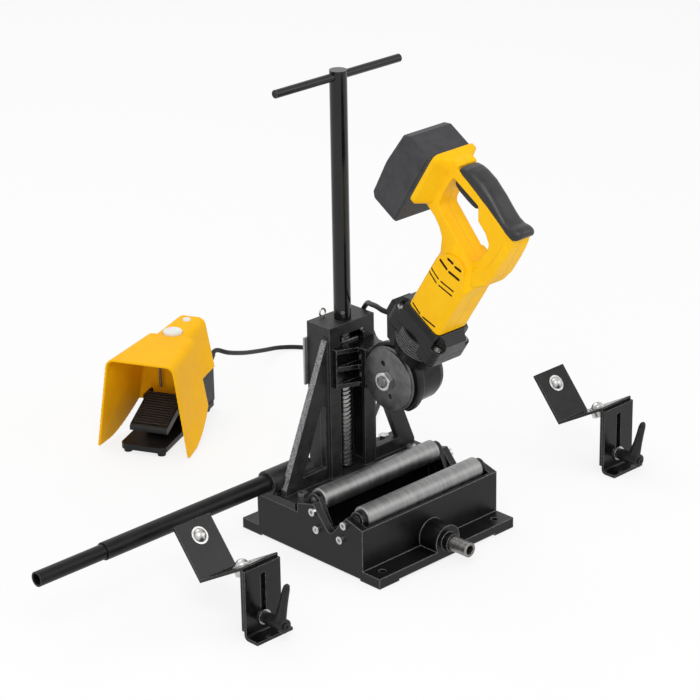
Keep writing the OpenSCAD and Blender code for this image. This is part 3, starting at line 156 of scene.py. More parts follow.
def surface(name, low, high, patch, rough, grain, depth, metal=0.0, stretch=(1, 1, 1), edge_wear_and_highlight=None,
            edge=0.7, coat=0.0, gloss=0.5):
    """A finish with clouded colour and roughness, fine relief and, if a lighter edge colour is given, edges
    painted lighter: partly scuffed wear, partly a painted highlight.

    low and high are the two shades, patch and grain the number of clouds and of grains in a metre,
    rough the least and the most roughness, depth the height of the relief and edge the radius of the
    softened edges, both in millimetres. stretch draws the clouds along an axis, coat is the share of
    a clear lacquer and gloss how strongly a bare or painted skin mirrors when seen straight on."""
    made = bpy.data.materials.new(name)
    made.use_nodes = True
    tree = made.node_tree
    shader = tree.nodes["Principled BSDF"]
    place = wire(tree, "TexCoord").outputs["Object"]
    drawn = wire(tree, "Mapping", {"Vector": place, "Scale": stretch}).outputs[0]
    clouds = {"Vector": drawn, "Scale": patch, "Detail": 5.0, "Roughness": 0.62}
    cloud = wire(tree, "TexNoise", clouds).outputs[0]
    grains = {"Vector": drawn, "Scale": grain, "Detail": 3.0, "Roughness": 0.6}
    fine = wire(tree, "TexNoise", grains).outputs[0]
    colour = mixed_colour(tree, ranged(tree, cloud, 0.36, 0.64), tone(*low), tone(*high))
    soft = wire(tree, "Bevel", {"Radius": edge * mm}, samples=4).outputs[0]
    # The lighter edge colour stands partly for scuffed wear and partly for a painted highlight along the
    # edges.
    if edge_wear_and_highlight:
        flat = wire(tree, "NewGeometry").outputs["Normal"]
        lean = wire(tree, "VectorMath", {0: soft, 1: flat}, operation="DOT_PRODUCT").outputs["Value"]
        rim = ranged(tree, lean, 0.985, 0.80)
        patchy_wear_and_highlight = ranged(tree, fine, 0.30, 0.62)
        share = wire(tree, "Math", {0: rim, 1: patchy_wear_and_highlight}, operation="MULTIPLY").outputs[0]
        colour = mixed_colour(tree, share, colour, tone(*edge_wear_and_highlight))
    tree.links.new(colour, shader.inputs["Base Color"])
    tree.links.new(ranged(tree, cloud, 0.3, 0.7, *rough), shader.inputs["Roughness"])
    relief = {"Height": fine, "Distance": depth * mm, "Strength": 0.6, "Normal": soft}
    tree.links.new(wire(tree, "Bump", relief).outputs[0], shader.inputs["Normal"])
    shader.inputs["Metallic"].default_value = metal
    shader.inputs["Specular IOR Level"].default_value = gloss
    if coat:
        shader.inputs["Coat Weight"].default_value = coat
        shader.inputs["Coat Roughness"].default_value = 0.12
    return made


def paint(piece, finish):
    """Gives a new piece one finish all over."""
    piece.data.materials.clear()
    piece.data.materials.append(finish)


def own(piece, finish, slot, body, *stood_for):
    """Gives a new piece its finish, the body it moves with and the CAD nodes it shows. The slot is not used.
    """
    paint(piece, finish)
    if body:
        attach(piece, body)
    if stood_for:
        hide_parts(*stood_for)


def dress(finish, *names):
    """Gives CAD nodes their finish."""
    for name in names:
        for place in nodes[name].material_slots:
            place.material = finish


def pick(piece):
    """Selects one piece alone and makes it the active one."""
    bpy.ops.object.select_all(action="DESELECT")
    piece.select_set(True)
    bpy.context.view_layer.objects.active = piece


lead_d = 7.0
lead_route = [(126.43, 515.87, 77), (144.41, 524.64, 75.5), (173, 531, 61), (223, 551, 40),
              (282, 576, 19), (330, 588, 6), (359, 566, 3.5), (384, 510, 3.5), (376, 440, 3.5),
              (330, 365, 3.5), (250, 300, 3.5), (160, 240, 3.5), (112, 211, 4.0), (84, 187, 16),
              (66, 166, 36), (54, 143, 66), (47.5, 126, 98), (45, 118, 132), (45, 118, 166),
              (45, 118, 204), (45, 118, 240), (45.2, 116, 262.5), (45.2, 108, 284), (39, 93, 299),
              (28, 76, 305.5), (17, 54, 311.25), (9.6, 34.94, 313.05), (9.6, 20.94, 313.25)]


def eased(points, steps):
    """A smooth line through all the points, with so many steps from each to the next."""
    ends = [2 * points[0] - points[1], *points, 2 * points[-1] - points[-2]]
    line = []
    for a, b, c, d in zip(ends, ends[1:], ends[2:], ends[3:]):
        for i in range(steps):
            t = i / steps
            line.append(0.5 * (2 * b + (c - a) * t + (2 * a - 5 * b + 4 * c - d) * t ** 2
                               + (3 * b - 3 * c + d - a) * t ** 3))
    return line + [points[-1]]


lead_line = eased([Vector(p) * mm for p in lead_route], 8)
core = bpy.data.curves.new("switch_lead", "CURVE")
core.dimensions = "3D"
core.bevel_depth = lead_d / 2 * mm
core.bevel_resolution = 4
core.use_fill_caps = True
spline = core.splines.new("POLY")
spline.points.add(len(lead_line) - 1)
for point, place in zip(spline.points, lead_line):
    point.co = (*place, 1)
lead = bpy.data.objects.new("switch_lead", core)
scene.collection.objects.link(lead)
pick(lead)
bpy.ops.object.convert(target="MESH")
bpy.ops.object.shade_smooth()
lead = bpy.context.object
lead_rubber = surface("lead_rubber", (14, 14, 15), (24, 24, 25), patch=90, rough=(0.42, 0.55),
                      grain=1400, depth=0.05, gloss=0.25)
own(lead, lead_rubber, "black_rubber", None, "foot_cord")
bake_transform(lead)

# Base casting and spigot
# One iron casting, painted satin black: bench flanges, a trough for the rollers and
# a boss in front, into which a turned steel tube is pressed as the bar socket.
# The light edge colour is a painted highlight on the casting's edges, patchy like scuffed paint.
cast_black = surface("cast_black", (8, 8, 9), (17, 17, 18), patch=55, rough=(0.26, 0.40), grain=900,
                     depth=0.12, edge_wear_and_highlight=(160, 160, 162), edge=2.4, gloss=0.24)
dress(cast_black, "base_casting")
turned_steel = surface("turned_steel", (120, 118, 115), (152, 150, 147), patch=40, rough=(0.32, 0.46),
                       grain=300, depth=0.05, metal=1.0, stretch=(1, 12, 1), edge_wear_and_highlight=(200, 200, 200))
dress(turned_steel, "front_spigot")

# Rollers, bearing blocks and their screws
# Two ground steel rollers turn on axles held in small cast blocks, each block pulled
# against the end wall by two zinc-plated socket screws.
# The steel is painted darker than bare ground steel: a painted reflection of the dark pipe that lies on the
# rollers.
roller_steel = surface("roller_steel", (132, 132, 132), (154, 154, 153), patch=30, rough=(0.40, 0.52),
                       grain=500, depth=0.02, metal=1.0, stretch=(6, 1, 1), edge_wear_and_highlight=(215, 215, 215))
dress(roller_steel, "front_roller", "rear_roller")
dress(turned_steel, "roller_axles")
dress(cast_black, "bearing_blocks")
zinc = surface("zinc", (172, 172, 172), (214, 214, 212), patch=160, rough=(0.22, 0.40), grain=1500,
               depth=0.03, metal=1.0, edge_wear_and_highlight=(235, 235, 235), edge=0.4)
dress(zinc, "block_screws")

# Column, its back plate and the side bar
# Column, gussets, foot and top plate are welded from cut steel and powder coated, rougher and
# greyer on the gussets' cut edges. A grey plate closes the back, and a tube slides in a sleeve.
frame_coat = surface("frame_coat", (26, 26, 27), (42, 42, 43), patch=70, rough=(0.38, 0.52), grain=700,
                     depth=0.22, edge_wear_and_highlight=(122, 122, 123), edge=1.8, gloss=0.32)
tree = frame_coat.node_tree
lie = wire(tree, "SeparateXYZ", {0: wire(tree, "NewGeometry").outputs["True Normal"]}).outputs
side = wire(tree, "Math", {0: lie["X"]}, operation="ABSOLUTE").outputs[0]
slope = wire(tree, "CombineXYZ", {"X": side, "Y": lie["Y"], "Z": lie["Z"]}).outputs[0]
gusset_edge = (0.925, 0.0, 0.380)
facing = wire(tree, "VectorMath", {0: slope, 1: gusset_edge}, operation="DOT_PRODUCT").outputs["Value"]
cut_edge = ranged(tree, facing, 0.97, 0.985)
at = wire(tree, "TexCoord").outputs["Object"]
pits = wire(tree, "TexVoronoi", {"Vector": at, "Scale": 620.0}).outputs["Distance"]
grit = mixed_colour(tree, ranged(tree, pits, 0.15, 0.7), tone(172, 172, 173), tone(84, 84, 86))
shader = tree.nodes["Principled BSDF"]
coat = shader.inputs["Base Color"].links[0].from_socket
tree.links.new(mixed_colour(tree, cut_edge, coat, grit), shader.inputs["Base Color"])
dress(frame_coat, "upright_frame")
dress(zinc, "frame_bolts", "cable_eye")
plate_grey = surface("plate_grey", (160, 161, 163), (170, 171, 173), patch=60, rough=(0.42, 0.52),
                     grain=900, depth=0.06, metal=0.6, edge_wear_and_highlight=(205, 205, 205))
dress(plate_grey, "rear_cover")
bar_black = surface("bar_black", (14, 14, 15), (24, 24, 25), patch=60, rough=(0.30, 0.42), grain=1000,
                    depth=0.08, edge_wear_and_highlight=(120, 120, 122), gloss=0.18)
dress(bar_black, "bar_sleeve", "bar_tube")


# Weld beads
# Rippled runs of weld in the corners between each gusset and the column, and across
# its top end, painted over with the frame.
def begin(name, operator, **sizes):
    """Adds one primitive, alone selected and active, and names it."""
    bpy.ops.object.select_all(action="DESELECT")
    operator(**sizes)
    piece = bpy.context.object
    piece.name = piece.data.name = name
    bpy.ops.object.transform_apply()
    return piece


def edit(piece):
    """Opens a piece for editing with everything on it selected."""
    pick(piece)
    bpy.ops.object.mode_set(mode="EDIT")
    bpy.ops.mesh.select_all(action="SELECT")


def close():
    """Ends editing, with the faces turned outwards."""
    bpy.ops.mesh.select_all(action="SELECT")
    bpy.ops.mesh.normals_make_consistent(inside=False)
    bpy.ops.object.mode_set(mode="OBJECT")


def finish_with(piece, kind, **settings):
    """Adds a modifier and applies it."""
    step = piece.modifiers.new(kind.lower(), kind)
    for key, value in settings.items():
        setattr(step, key, value)
    bpy.context.view_layer.objects.active = piece
    bpy.ops.object.modifier_apply(modifier=step.name)


def cut(piece, tool, operation="DIFFERENCE"):
    """Cuts a piece with a tool, which is then thrown away."""
    finish_with(piece, "BOOLEAN", operation=operation, solver="EXACT", object=tool,
                material_mode="TRANSFER")
    bpy.data.objects.remove(tool)


def gather(piece, *others):
    """Joins other pieces into the first."""
    bpy.ops.object.select_all(action="DESELECT")
    for other in (piece, *others):
        other.select_set(True)
    bpy.context.view_layer.objects.active = piece
    bpy.ops.object.join()
    return piece


def turned(name, outline, steps=64):
    """A turned piece: an outline of (radius, height) pairs in millimetres, spun about Z."""
    piece = begin(name, bpy.ops.mesh.primitive_circle_add, vertices=len(outline), radius=1.0)
    for vertex, (radius, height) in zip(piece.data.vertices, outline):
        vertex.co = (radius * mm, 0, height * mm)
    edit(piece)
    bpy.ops.mesh.spin(steps=steps, angle=2 * math.pi, center=(0, 0, 0), axis=(0, 0, 1))
    bpy.ops.mesh.select_all(action="SELECT")
    bpy.ops.mesh.remove_doubles(threshold=1e-6)
    bpy.ops.mesh.delete_loose()
    close()
    return piece


def drawn_out(name, outline, low, high, axis="X"):
    """A flat outline in millimetres drawn out along X, Y or Z from low to high.

    The two numbers of each outline point are the other two axes in their order."""
    order = {"X": (2, 0, 1), "Y": (0, 2, 1), "Z": (0, 1, 2)}[axis]

    def turn(a, b, c):
        return [(a, b, c)[i] * mm for i in order]

    piece = begin(name, bpy.ops.mesh.primitive_circle_add, vertices=len(outline), radius=1.0,
                  fill_type="NGON")
    for vertex, (a, b) in zip(piece.data.vertices, outline):
        vertex.co = turn(a, b, low)
    edit(piece)
    bpy.ops.mesh.extrude_region_move(TRANSFORM_OT_translate={"value": turn(0, 0, high - low)})
    close()
    return piece


def lofted(name, rings):
    """A closed skin over rings of points in millimetres, all with the same number of points."""
    rings = [[Vector(point) * mm for point in ring] for ring in rings]
    piece = begin(name, bpy.ops.mesh.primitive_circle_add, vertices=len(rings[0]), radius=1.0,
                  fill_type="NGON")
    for vertex, place in zip(piece.data.vertices, rings[0]):
        vertex.co = place
    lift = Vector((0, 0, 1))
    edit(piece)
    for before, after in zip(rings, rings[1:]):
        bpy.ops.mesh.extrude_region_move(TRANSFORM_OT_translate={"value": lift})
        bpy.ops.object.mode_set(mode="OBJECT")
        for vertex in piece.data.vertices:
            if vertex.select:
                nearest = min(range(len(before)), key=lambda i: (before[i] + lift - vertex.co).length)
                vertex.co = after[nearest]
        bpy.ops.object.mode_set(mode="EDIT")
    close()
    return piece


def put(piece, place=(0, 0, 0), turn=(0, 0, 0)):
    """Turns a piece by degrees, moves it by millimetres, and leaves its object at the origin."""
    pick(piece)
    piece.rotation_euler = [math.radians(a) for a in turn]
    piece.location = [v * mm for v in place]
    bpy.ops.object.transform_apply()
    return piece


def smooth(piece, angle=40):
    """Shades a piece smooth up to an angle between faces."""
    pick(piece)
    bpy.ops.object.shade_smooth_by_angle(angle=math.radians(angle))


def bead(name, start, end, width, count):
    """A weld bead between two points in millimetres: a rounded run with a ripple for each drop."""
    start, end = Vector(start), Vector(end)
    run = end - start
    piece = begin(name, bpy.ops.mesh.primitive_cylinder_add, vertices=10, radius=width / 2 * mm, depth=1.0)
    edit(piece)
    bpy.ops.mesh.select_mode(type="EDGE")
    bpy.ops.mesh.select_all(action="DESELECT")
    bpy.ops.object.mode_set(mode="OBJECT")
    for seam in piece.data.edges:
        a, b = (piece.data.vertices[i].co for i in seam.vertices)
        seam.select = abs(a.z - b.z) > 0.5
    bpy.ops.object.mode_set(mode="EDIT")
    bpy.ops.mesh.subdivide(number_cuts=4 * count)
    close()
    turn = run.to_track_quat("Z", "Y").to_matrix()
    for vertex in piece.data.vertices:
        t = vertex.co.z + 0.5
        uneven = 0.5 + 0.5 * math.sin(7.3 * t * count)
        swell = 0.82 + 0.26 * abs(math.sin(math.pi * count * t)) * uneven
        taper = min(1.0, 12 * t, 12 * (1 - t)) ** 0.5 if 0 < t < 1 else 0.25
        flat = Vector((vertex.co.x, vertex.co.y, 0)) * swell * taper
        vertex.co = turn @ flat + (start + run * t) * mm
    smooth(piece, 60)
    return piece


corner_x, corner_ys = 41, (88, 98)
run_low, run_high, run_width, run_drops = 82, 268, 4.4, 42
top_x, top_z, top_width, top_drops = 41.4, 271.5, 4.8, 4
welds = []
for hand in (-1, 1):
    for y in corner_ys:
        welds.append(bead("weld_run", (hand * corner_x, y, run_low), (hand * corner_x, y, run_high),
                          run_width, run_drops))
    welds.append(bead("weld_top", *[(hand * top_x, y, top_z) for y in corner_ys], top_width, top_drops))
weld = gather(*welds)
weld.name = weld.data.name = "frame_welds"
weld_coat = surface("weld_coat", (26, 26, 27), (52, 52, 54), patch=300, rough=(0.35, 0.5), grain=900,
                    depth=0.2, edge_wear_and_highlight=(120, 120, 120), gloss=0.3)
own(weld, weld_coat, "powder_black", "frame_set")


# Stop bolt and set screw
# A plated bolt in the upper corner of the column's slot stops the slide. A strip on
# top of the slide is held by a set screw that meets it there.
def stud(name, radius, height, chamfer, steps):
    """A round stud that stands on Z, with its free end chamfered."""
    rim = [(radius - chamfer, height), (radius, height - chamfer), (radius, 0)]
    return turned(name, [(0, 0), (0, height), *rim], steps)


def rounded(piece, width, segments, angle):
    """Rounds the edges that turn by more than an angle, over a width in millimetres."""
    finish_with(piece, "BEVEL", width=width * mm, segments=segments, limit_method="ANGLE",
                angle_limit=math.radians(angle))


stop_place = (18.6, 86.9, 271.9)
stop = stud("stop_bolt", radius=3.4, height=3.2, chamfer=0.6, steps=32)
put(stop, stop_place, (90, 0, 0))
smooth(stop)
grey_plated = surface("grey_plated", (96, 97, 99), (150, 150, 152), patch=200, rough=(0.3, 0.46),
                      grain=1200, depth=0.05, metal=0.9, edge_wear_and_highlight=(200, 200, 200), edge=0.4)
own(stop, grey_plated, "bright_steel", "frame_set")
strip_low, strip_high = 258.2, 260.6
strip_plan = [(-17, 86.6), (15, 86.6), (15, 90.4), (-6, 90.4), (-6, 95), (-12, 95), (-12, 90.4), (-17, 90.4)]
strip = drawn_out("set_screw", strip_plan, strip_low, strip_high, "Z")
rounded(strip, width=0.6, segments=2, angle=30)
tip = stud("screw_tip", radius=2.5, height=6.6, chamfer=0.6, steps=24)
put(tip, (-9, 92.4, strip_low))
gather(strip, tip)
smooth(strip)
own(strip, grey_plated, "bright_steel", "slide")

# Feed spindle and its bush
# The spindle has a rolled trapezoidal thread of 6 mm pitch below and a turned journal
# above, which runs in a bronze bush in the top plate.
spindle_y = 101
pitch, turns = 6.0, 36
crest, root = 10.0, 7.6
thread_low, thread_high = 76.0, 279.2
thread = begin("feed_screw", bpy.ops.mesh.primitive_circle_add, vertices=5, radius=1.0)
tooth = [(crest, 0), (crest, 2.1), (root, 3.0), (root, 5.1), (crest, pitch)]
for vertex, (radius, height) in zip(thread.data.vertices, tooth):
    vertex.co = (radius * mm, 0, height * mm)
edit(thread)
bpy.ops.mesh.select_all(action="DESELECT")
bpy.ops.object.mode_set(mode="OBJECT")
for side_line in thread.data.edges:
    side_line.select = set(side_line.vertices) == {0, 4}
bpy.ops.object.mode_set(mode="EDIT")
bpy.ops.mesh.select_mode(type="EDGE")
bpy.ops.mesh.delete(type="EDGE_FACE")
bpy.ops.object.mode_set(mode="OBJECT")
finish_with(thread, "SCREW", angle=2 * math.pi, screw_offset=pitch * mm, iterations=turns, steps=28,
            render_steps=28, axis="Z", use_merge_vertices=True, merge_threshold=1e-6,
            use_smooth_shade=False)
put(thread, (0, spindle_y, thread_low - pitch))
edit(thread)
bpy.ops.mesh.remove_doubles(threshold=1e-6)
for height, up in ((thread_low, -1), (thread_high, 1)):
    bpy.ops.mesh.select_all(action="SELECT")
    bpy.ops.mesh.bisect(plane_co=(0, spindle_y * mm, height * mm), plane_no=(0, 0, up), use_fill=True,
                        clear_outer=True)
close()
journal = turned("journal", [(0, 270), (0, 339.5), (7.2, 339.5), (8, 338.7), (8, thread_high),
                             (7.4, thread_high), (7.4, 270)], 48)
put(journal, (0, spindle_y, 0))
gather(thread, journal)
smooth(thread, 35)
screw_steel = surface("screw_steel", (150, 150, 149), (182, 182, 180), patch=60, rough=(0.26, 0.36),
                      grain=500, depth=0.01, metal=1.0, edge=0.2)
own(thread, screw_steel, "ground_steel", "feed_screw", "feed_spindle")
bronze = surface("bronze", (58, 46, 30), (92, 72, 44), patch=90, rough=(0.3, 0.46), grain=700,
                 depth=0.04, metal=1.0, edge_wear_and_highlight=(120, 96, 60))
dress(bronze, "spindle_bush")

# Handle tube and cross bar
# A tube held on the journal by a small screw carries a round cross bar. Both are steel,
# enamelled black, with long soft highlights, and their edges are painted lighter as scuffed paint and painted
# highlight.
enamel = surface("enamel", (12, 12, 13), (20, 20, 21), patch=35, rough=(0.14, 0.24), grain=260,
                 depth=0.04, edge_wear_and_highlight=(90, 90, 92), coat=0.2, gloss=0.3)
dress(enamel, "handle_post")
bar_enamel = surface("bar_enamel", (14, 14, 15), (24, 24, 25), patch=45, rough=(0.24, 0.34), grain=300,
                     depth=0.04, edge_wear_and_highlight=(150, 150, 150), edge=0.8, gloss=0.32)
dress(bar_enamel, "tommy_bar")
pin_place, pin_turn = (-8.5, 91.6, 299), (64, 0, -42)
pin = turned("post_screw", [(0, 0), (0, 1.0), (1.4, 1.0), (1.4, 1.8), (2.8, 1.8), (3.2, 1.3), (3.2, 0)], 28)
put(pin, pin_place, pin_turn)
smooth(pin)
own(pin, enamel, "gloss_black", "feed_screw")

# Slide
# A ribbed casting that runs on the front of the column, enamelled black, with a long
# bronze nut in its middle.
slide_black = surface("slide_black", (9, 9, 10), (17, 17, 18), patch=60, rough=(0.20, 0.32), grain=420,
                      depth=0.08, edge_wear_and_highlight=(140, 140, 142), edge=1.8, coat=0.1, gloss=0.28)
dress(slide_black, "carriage")
dress(bronze, "feed_nut")

# Gear head
# Iron casting in satin black: a round nose around the wheel shaft, a mounting block for
# the slide, a turned neck with rings painted lighter as scuffed paint and painted highlight, a lugged flange
# for the drive, a cable box.
axle_z = 233.023
drive_x, drive_tilt = 9.6, 32.5


def into_drive(piece):
    """Moves a piece from the drive's own axes, with Z along the motor, to its place on the machine."""
    return put(piece, (drive_x, 0, axle_z), (drive_tilt, 0, 0))


def onto_shaft(piece):
    """Moves a turned piece from Z to the wheel shaft."""
    return put(piece, (0, 0, axle_z), (0, 90, 0))


def round_rect(width, depth, radius, middle=(0, 0)):
    """Outline of a rectangle with round corners."""
    line = []
    for corner, (sx, sy) in enumerate(((1, 1), (-1, 1), (-1, -1), (1, -1))):
        for i in range(7):
            a = math.radians(90 * corner + 15 * i)
            line.append((middle[0] + sx * (width / 2 - radius) + radius * math.cos(a),
                         middle[1] + sy * (depth / 2 - radius) + radius * math.sin(a)))
    return line


def oblong(left, right, low, high):
    """Outline of a plain rectangle."""
    return [(left, low), (right, low), (right, high), (left, high)]


def rod(name, radius, low, high, sides=40):
    """A plain round bar along Z, as a part or a cutter."""
    return turned(name, [(0, low), (0, high), (radius, high), (radius, low)], sides)


def fused(piece, voxel, rounds, keep):
    """Melts joined parts into one skin with rounded edges and filled corners, as a casting has.

    voxel is the fineness in millimetres, rounds how often it is smoothed and keep the share of faces kept."""
    finish_with(piece, "REMESH", mode="VOXEL", voxel_size=voxel * mm)
    finish_with(piece, "SMOOTH", factor=0.5, iterations=rounds)
    finish_with(piece, "DECIMATE", ratio=keep)
    return piece


def across(outline, height):
    """Lifts a flat outline to one height along the motor."""
    return [(x, y, height) for x, y in outline]


nose_face, nose_back, flange_top = -8.5, 40, 92
nose = turned("head_nose", [(0, nose_face), (47.5, nose_face), (49, -7), (49, 2), (45, 5), (42, 8),
                            (41, nose_back), (0, nose_back)], 96)
onto_shaft(nose)
foot = drawn_out("head_foot", oblong(0, 50, 203.1, 257.9), -8, 30)
neck = turned("head_neck", [(0, 26), (24, 28), (31, 52), (36, 68), (36, flange_top), (0, flange_top)], 96)
into_drive(neck)
lug_plan = round_rect(64, 92, 8)
lugs = lofted("head_lugs", [across(round_rect(44.8, 62, 8), 66), across(lug_plan, 78),
                            across(lug_plan, flange_top)])
gap_half, gap_floor, gap_out = 17, 18, 40
for hand in (-1, 1):
    gap = oblong(-gap_half, gap_half, 60, 100)
    cut(lugs, drawn_out("lug_gap", gap, *sorted((hand * gap_floor, hand * gap_out))))
into_drive(lugs)
box = drawn_out("head_box", [(0, 40), (38, 40), (44.48, 50.19), (59.5, 73.8), (59.5, flange_top),
                             (0, flange_top)], -17, 17)
into_drive(box)
head = gather(nose, foot, neck, lugs, box)
head.name = head.data.name = "gear_head"
fused(head, voxel=1.0, rounds=4, keep=0.45)
# Its lighter edge colour is partly scuffed paint and partly a painted highlight on the casting's edges.
head_black = surface("head_black", (11, 11, 12), (22, 22, 23), patch=60, rough=(0.22, 0.36), grain=800,
                     depth=0.16, edge_wear_and_highlight=(136, 136, 138), edge=0.9, gloss=0.26)
paint(head, head_black)
ring_count, ring_start, ring_step, ring_r, groove_r = 7, 66.4, 3.6, 36.7, 35
ridges = [(0, 66)]
for i in range(ring_count):
    low = ring_start + ring_step * i
    ridges += [(groove_r, low), (ring_r, low + 0.7), (ring_r, low + 1.7), (groove_r, low + 2.4)]
rings = into_drive(turned("neck_ridges", [*ridges, (0, 91)], 96))
# The rings' lighter colour is partly scuffed paint and partly a painted highlight on their crests.
ring_wear_and_highlight = surface("ring_wear_and_highlight", (30, 30, 31), (66, 66, 68), patch=120, rough=(0.24, 0.36),
                      grain=800, depth=0.05, edge_wear_and_highlight=(170, 170, 172), edge=0.6, gloss=0.4)
rings.data.materials.append(ring_wear_and_highlight)
cut(head, rings, "UNION")
cut(head, onto_shaft(rod("wheel_room", 46.5, -60, nose_face, 96)))
cut(head, onto_shaft(rod("cover_room", 41.4, nose_back, 70, 96)))
flat_below = 39.5
cut(head, drawn_out("drum_flat", oblong(-60, 60, 150, axle_z - flat_below), -9.5, 54))
smooth(head, 45)
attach(head, "slide")
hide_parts("gear_housing")
dress(head_black, "gear_cover", "motor_adapter")
dress(zinc, "head_screws", "adapter_screws")
dress(lead_rubber, "drive_gland")
dress(turned_steel, "shaft_bearings", "crown_gear", "drive_pinion")

# Cutter wheel, its flange, nut and shaft
# A hardened disc with a ground cutting edge is held between flanges on the shaft by
# a plated hexagon nut. The faces keep the rings of the lathe.
wheel_steel = surface("wheel_steel", (88, 88, 89), (110, 110, 111), patch=70, rough=(0.38, 0.52),
                      grain=1200, depth=0.05, metal=0.85, edge_wear_and_highlight=(176, 176, 176), edge=0.5)
tree = wheel_steel.node_tree
shader = tree.nodes["Principled BSDF"]
middle = wire(tree, "Mapping", {"Vector": wire(tree, "TexCoord").outputs["Object"],
                                "Location": (0, 0, -axle_z * mm), "Scale": (0, 1, 1)}).outputs[0]
radius = wire(tree, "VectorMath", {0: middle}, operation="LENGTH").outputs["Value"]
lines = {"W": radius, "Scale": 900.0, "Detail": 2.0}
lathe = wire(tree, "TexNoise", lines, noise_dimensions="1D").outputs[0]
under = shader.inputs["Normal"].links[0].from_socket
grooves = {"Height": lathe, "Distance": 0.06 * mm, "Strength": 0.7, "Normal": under}
tree.links.new(wire(tree, "Bump", grooves).outputs[0], shader.inputs["Normal"])
dress(wheel_steel, "cutter_wheel")
flange_bore, flange_r, flange_back, flange_face = 8.02, 42.1, -15, -19
spanner_r, spanner_hole_r, spanner_turns = 22.5, 3.8, (74, 254)
flange = turned("clamp_flange", [(flange_bore, flange_back), (flange_r, flange_back),
                                 (flange_r, flange_face + 1), (flange_r - 1.2, flange_face),
                                 (flange_bore, flange_face)], 128)
for degrees in spanner_turns:
    turn = math.radians(degrees)
    hole = rod("spanner_hole", spanner_hole_r, flange_face - 1, flange_back + 1, 32)
    put(hole, (-spanner_r * math.sin(turn), spanner_r * math.cos(turn), 0))
    cut(flange, hole)
onto_shaft(flange)
smooth(flange)
own(flange, wheel_steel, "tool_steel", "cutter", "wheel_flange")
dress(zinc, "wheel_nut")
shaft_grey = surface("shaft_grey", (92, 92, 92), (132, 132, 131), patch=220, rough=(0.35, 0.5),
                     grain=1300, depth=0.12, metal=0.9, edge_wear_and_highlight=(170, 170, 170), edge=0.5)
dress(shaft_grey, "wheel_shaft")

# Drive housing
# Two moulded yellow halves, joined on the middle plane around the motor: a barrel with cooling
# slots, a D-shaped handle with a pocket for the trigger, and the battery shoe.
barrel_low, barrel_wide, barrel_deep, handle_half, through = 122, 56, 61, 17, 40
# outlines seen from the side: place across the motor and place along it, from the wheel shaft on
body_top = [(30, 209), (26, 218), (17, 230), (7, 235.5), (-6, 236), (-15, 232.5), (-23, 214), (-31, 201)]
shoulder_end = [(30.5, 190), (33, 211), (31, 226), (22, 238), (4, 240), (-12, 240), (-27, 230), (-34, 214),
                (-30.5, 190)]
loop_out = [(31, 204), (34, 214), (42, 231), (52, 239), (66, 245), (88, 249), (88, 329), (78, 332),
            (71, 331.5), (70, 327), (67, 327), (49, 326.5), (32, 325), (9, 322.3), (-11, 319.5),
            (-32, 316.5), (-46, 317), (-49, 304), (-50, 292), (-50, 252), (-46, 232), (-36, 217), (-30, 204)]
loop_in = [(66, 261), (69, 265), (71, 282), (71, 304), (68, 312), (20, 312), (14, 303), (9, 295), (-8, 291),
           (-20, 283), (-23, 275), (-20, 256), (-14, 243), (-6, 240)]
pad_out = [(-38, 301), (-44, 303), (-47.5, 299), (-49.5, 280), (-49.5, 252), (-45.5, 232.5), (-36, 218.5),
           (-30, 217), (-17, 227), (-23, 243), (-36, 257), (-38.5, 280)]
barrel = drawn_out("drive_shell", round_rect(barrel_wide, barrel_deep, 7), barrel_low, 240, "Z")
barrel_room = [(-61, 100), (61, 100), (61, 206), *body_top, (-61, 201)]
cut(barrel, drawn_out("barrel_end", barrel_room, -through, through), "INTERSECT")
shoulder_start = [(-27.5, 190), (27.5, 190)] + [(0.9 * y, s - 3) for y, s in body_top]
shoulder = gather(drawn_out("drive_shoulder", shoulder_start, -25, 25),
                  drawn_out("shoulder_end", shoulder_end, -handle_half, handle_half))
edit(shoulder)
bpy.ops.mesh.convex_hull()
close()
loop = drawn_out("drive_loop", loop_out, -handle_half, handle_half)
cut(loop, drawn_out("hand_hole", loop_in, -through, through))
rounded(loop, width=4.5, segments=4, angle=60)
pad = drawn_out("knuckle_pad", pad_out, -20, 20)
rounded(pad, width=1.6, segments=3, angle=60)


def upright(outline, place):
    """Stands a flat outline across the handle at one place."""
    return [(x, place, s) for x, s in outline]


shoe_plan = round_rect(74, 84, 9, (0, 289))
shoe_root = round_rect(34, 70, 9, (0, 290))
shoe = lofted("battery_shoe", [upright(shoe_root, 77), upright(shoe_plan, 91), upright(shoe_plan, 98)])
shell = gather(barrel, shoulder, loop, pad, shoe)
shell.name = shell.data.name = "drive_shell"
fused(shell, voxel=0.9, rounds=3, keep=0.4)
cut(shell, drawn_out("trigger_pocket", oblong(20.6, 67.4, 290, 321), -12.4, 12.4))
# The slot walls are painted dark brown: painted shade for the unlit inside of the housing seen through the
# slots.
slot_painted_shade = surface("slot_painted_shade", (74, 38, 16), (96, 50, 22), patch=200, rough=(0.6, 0.8), grain=900,
                    depth=0.05, gloss=0.1)
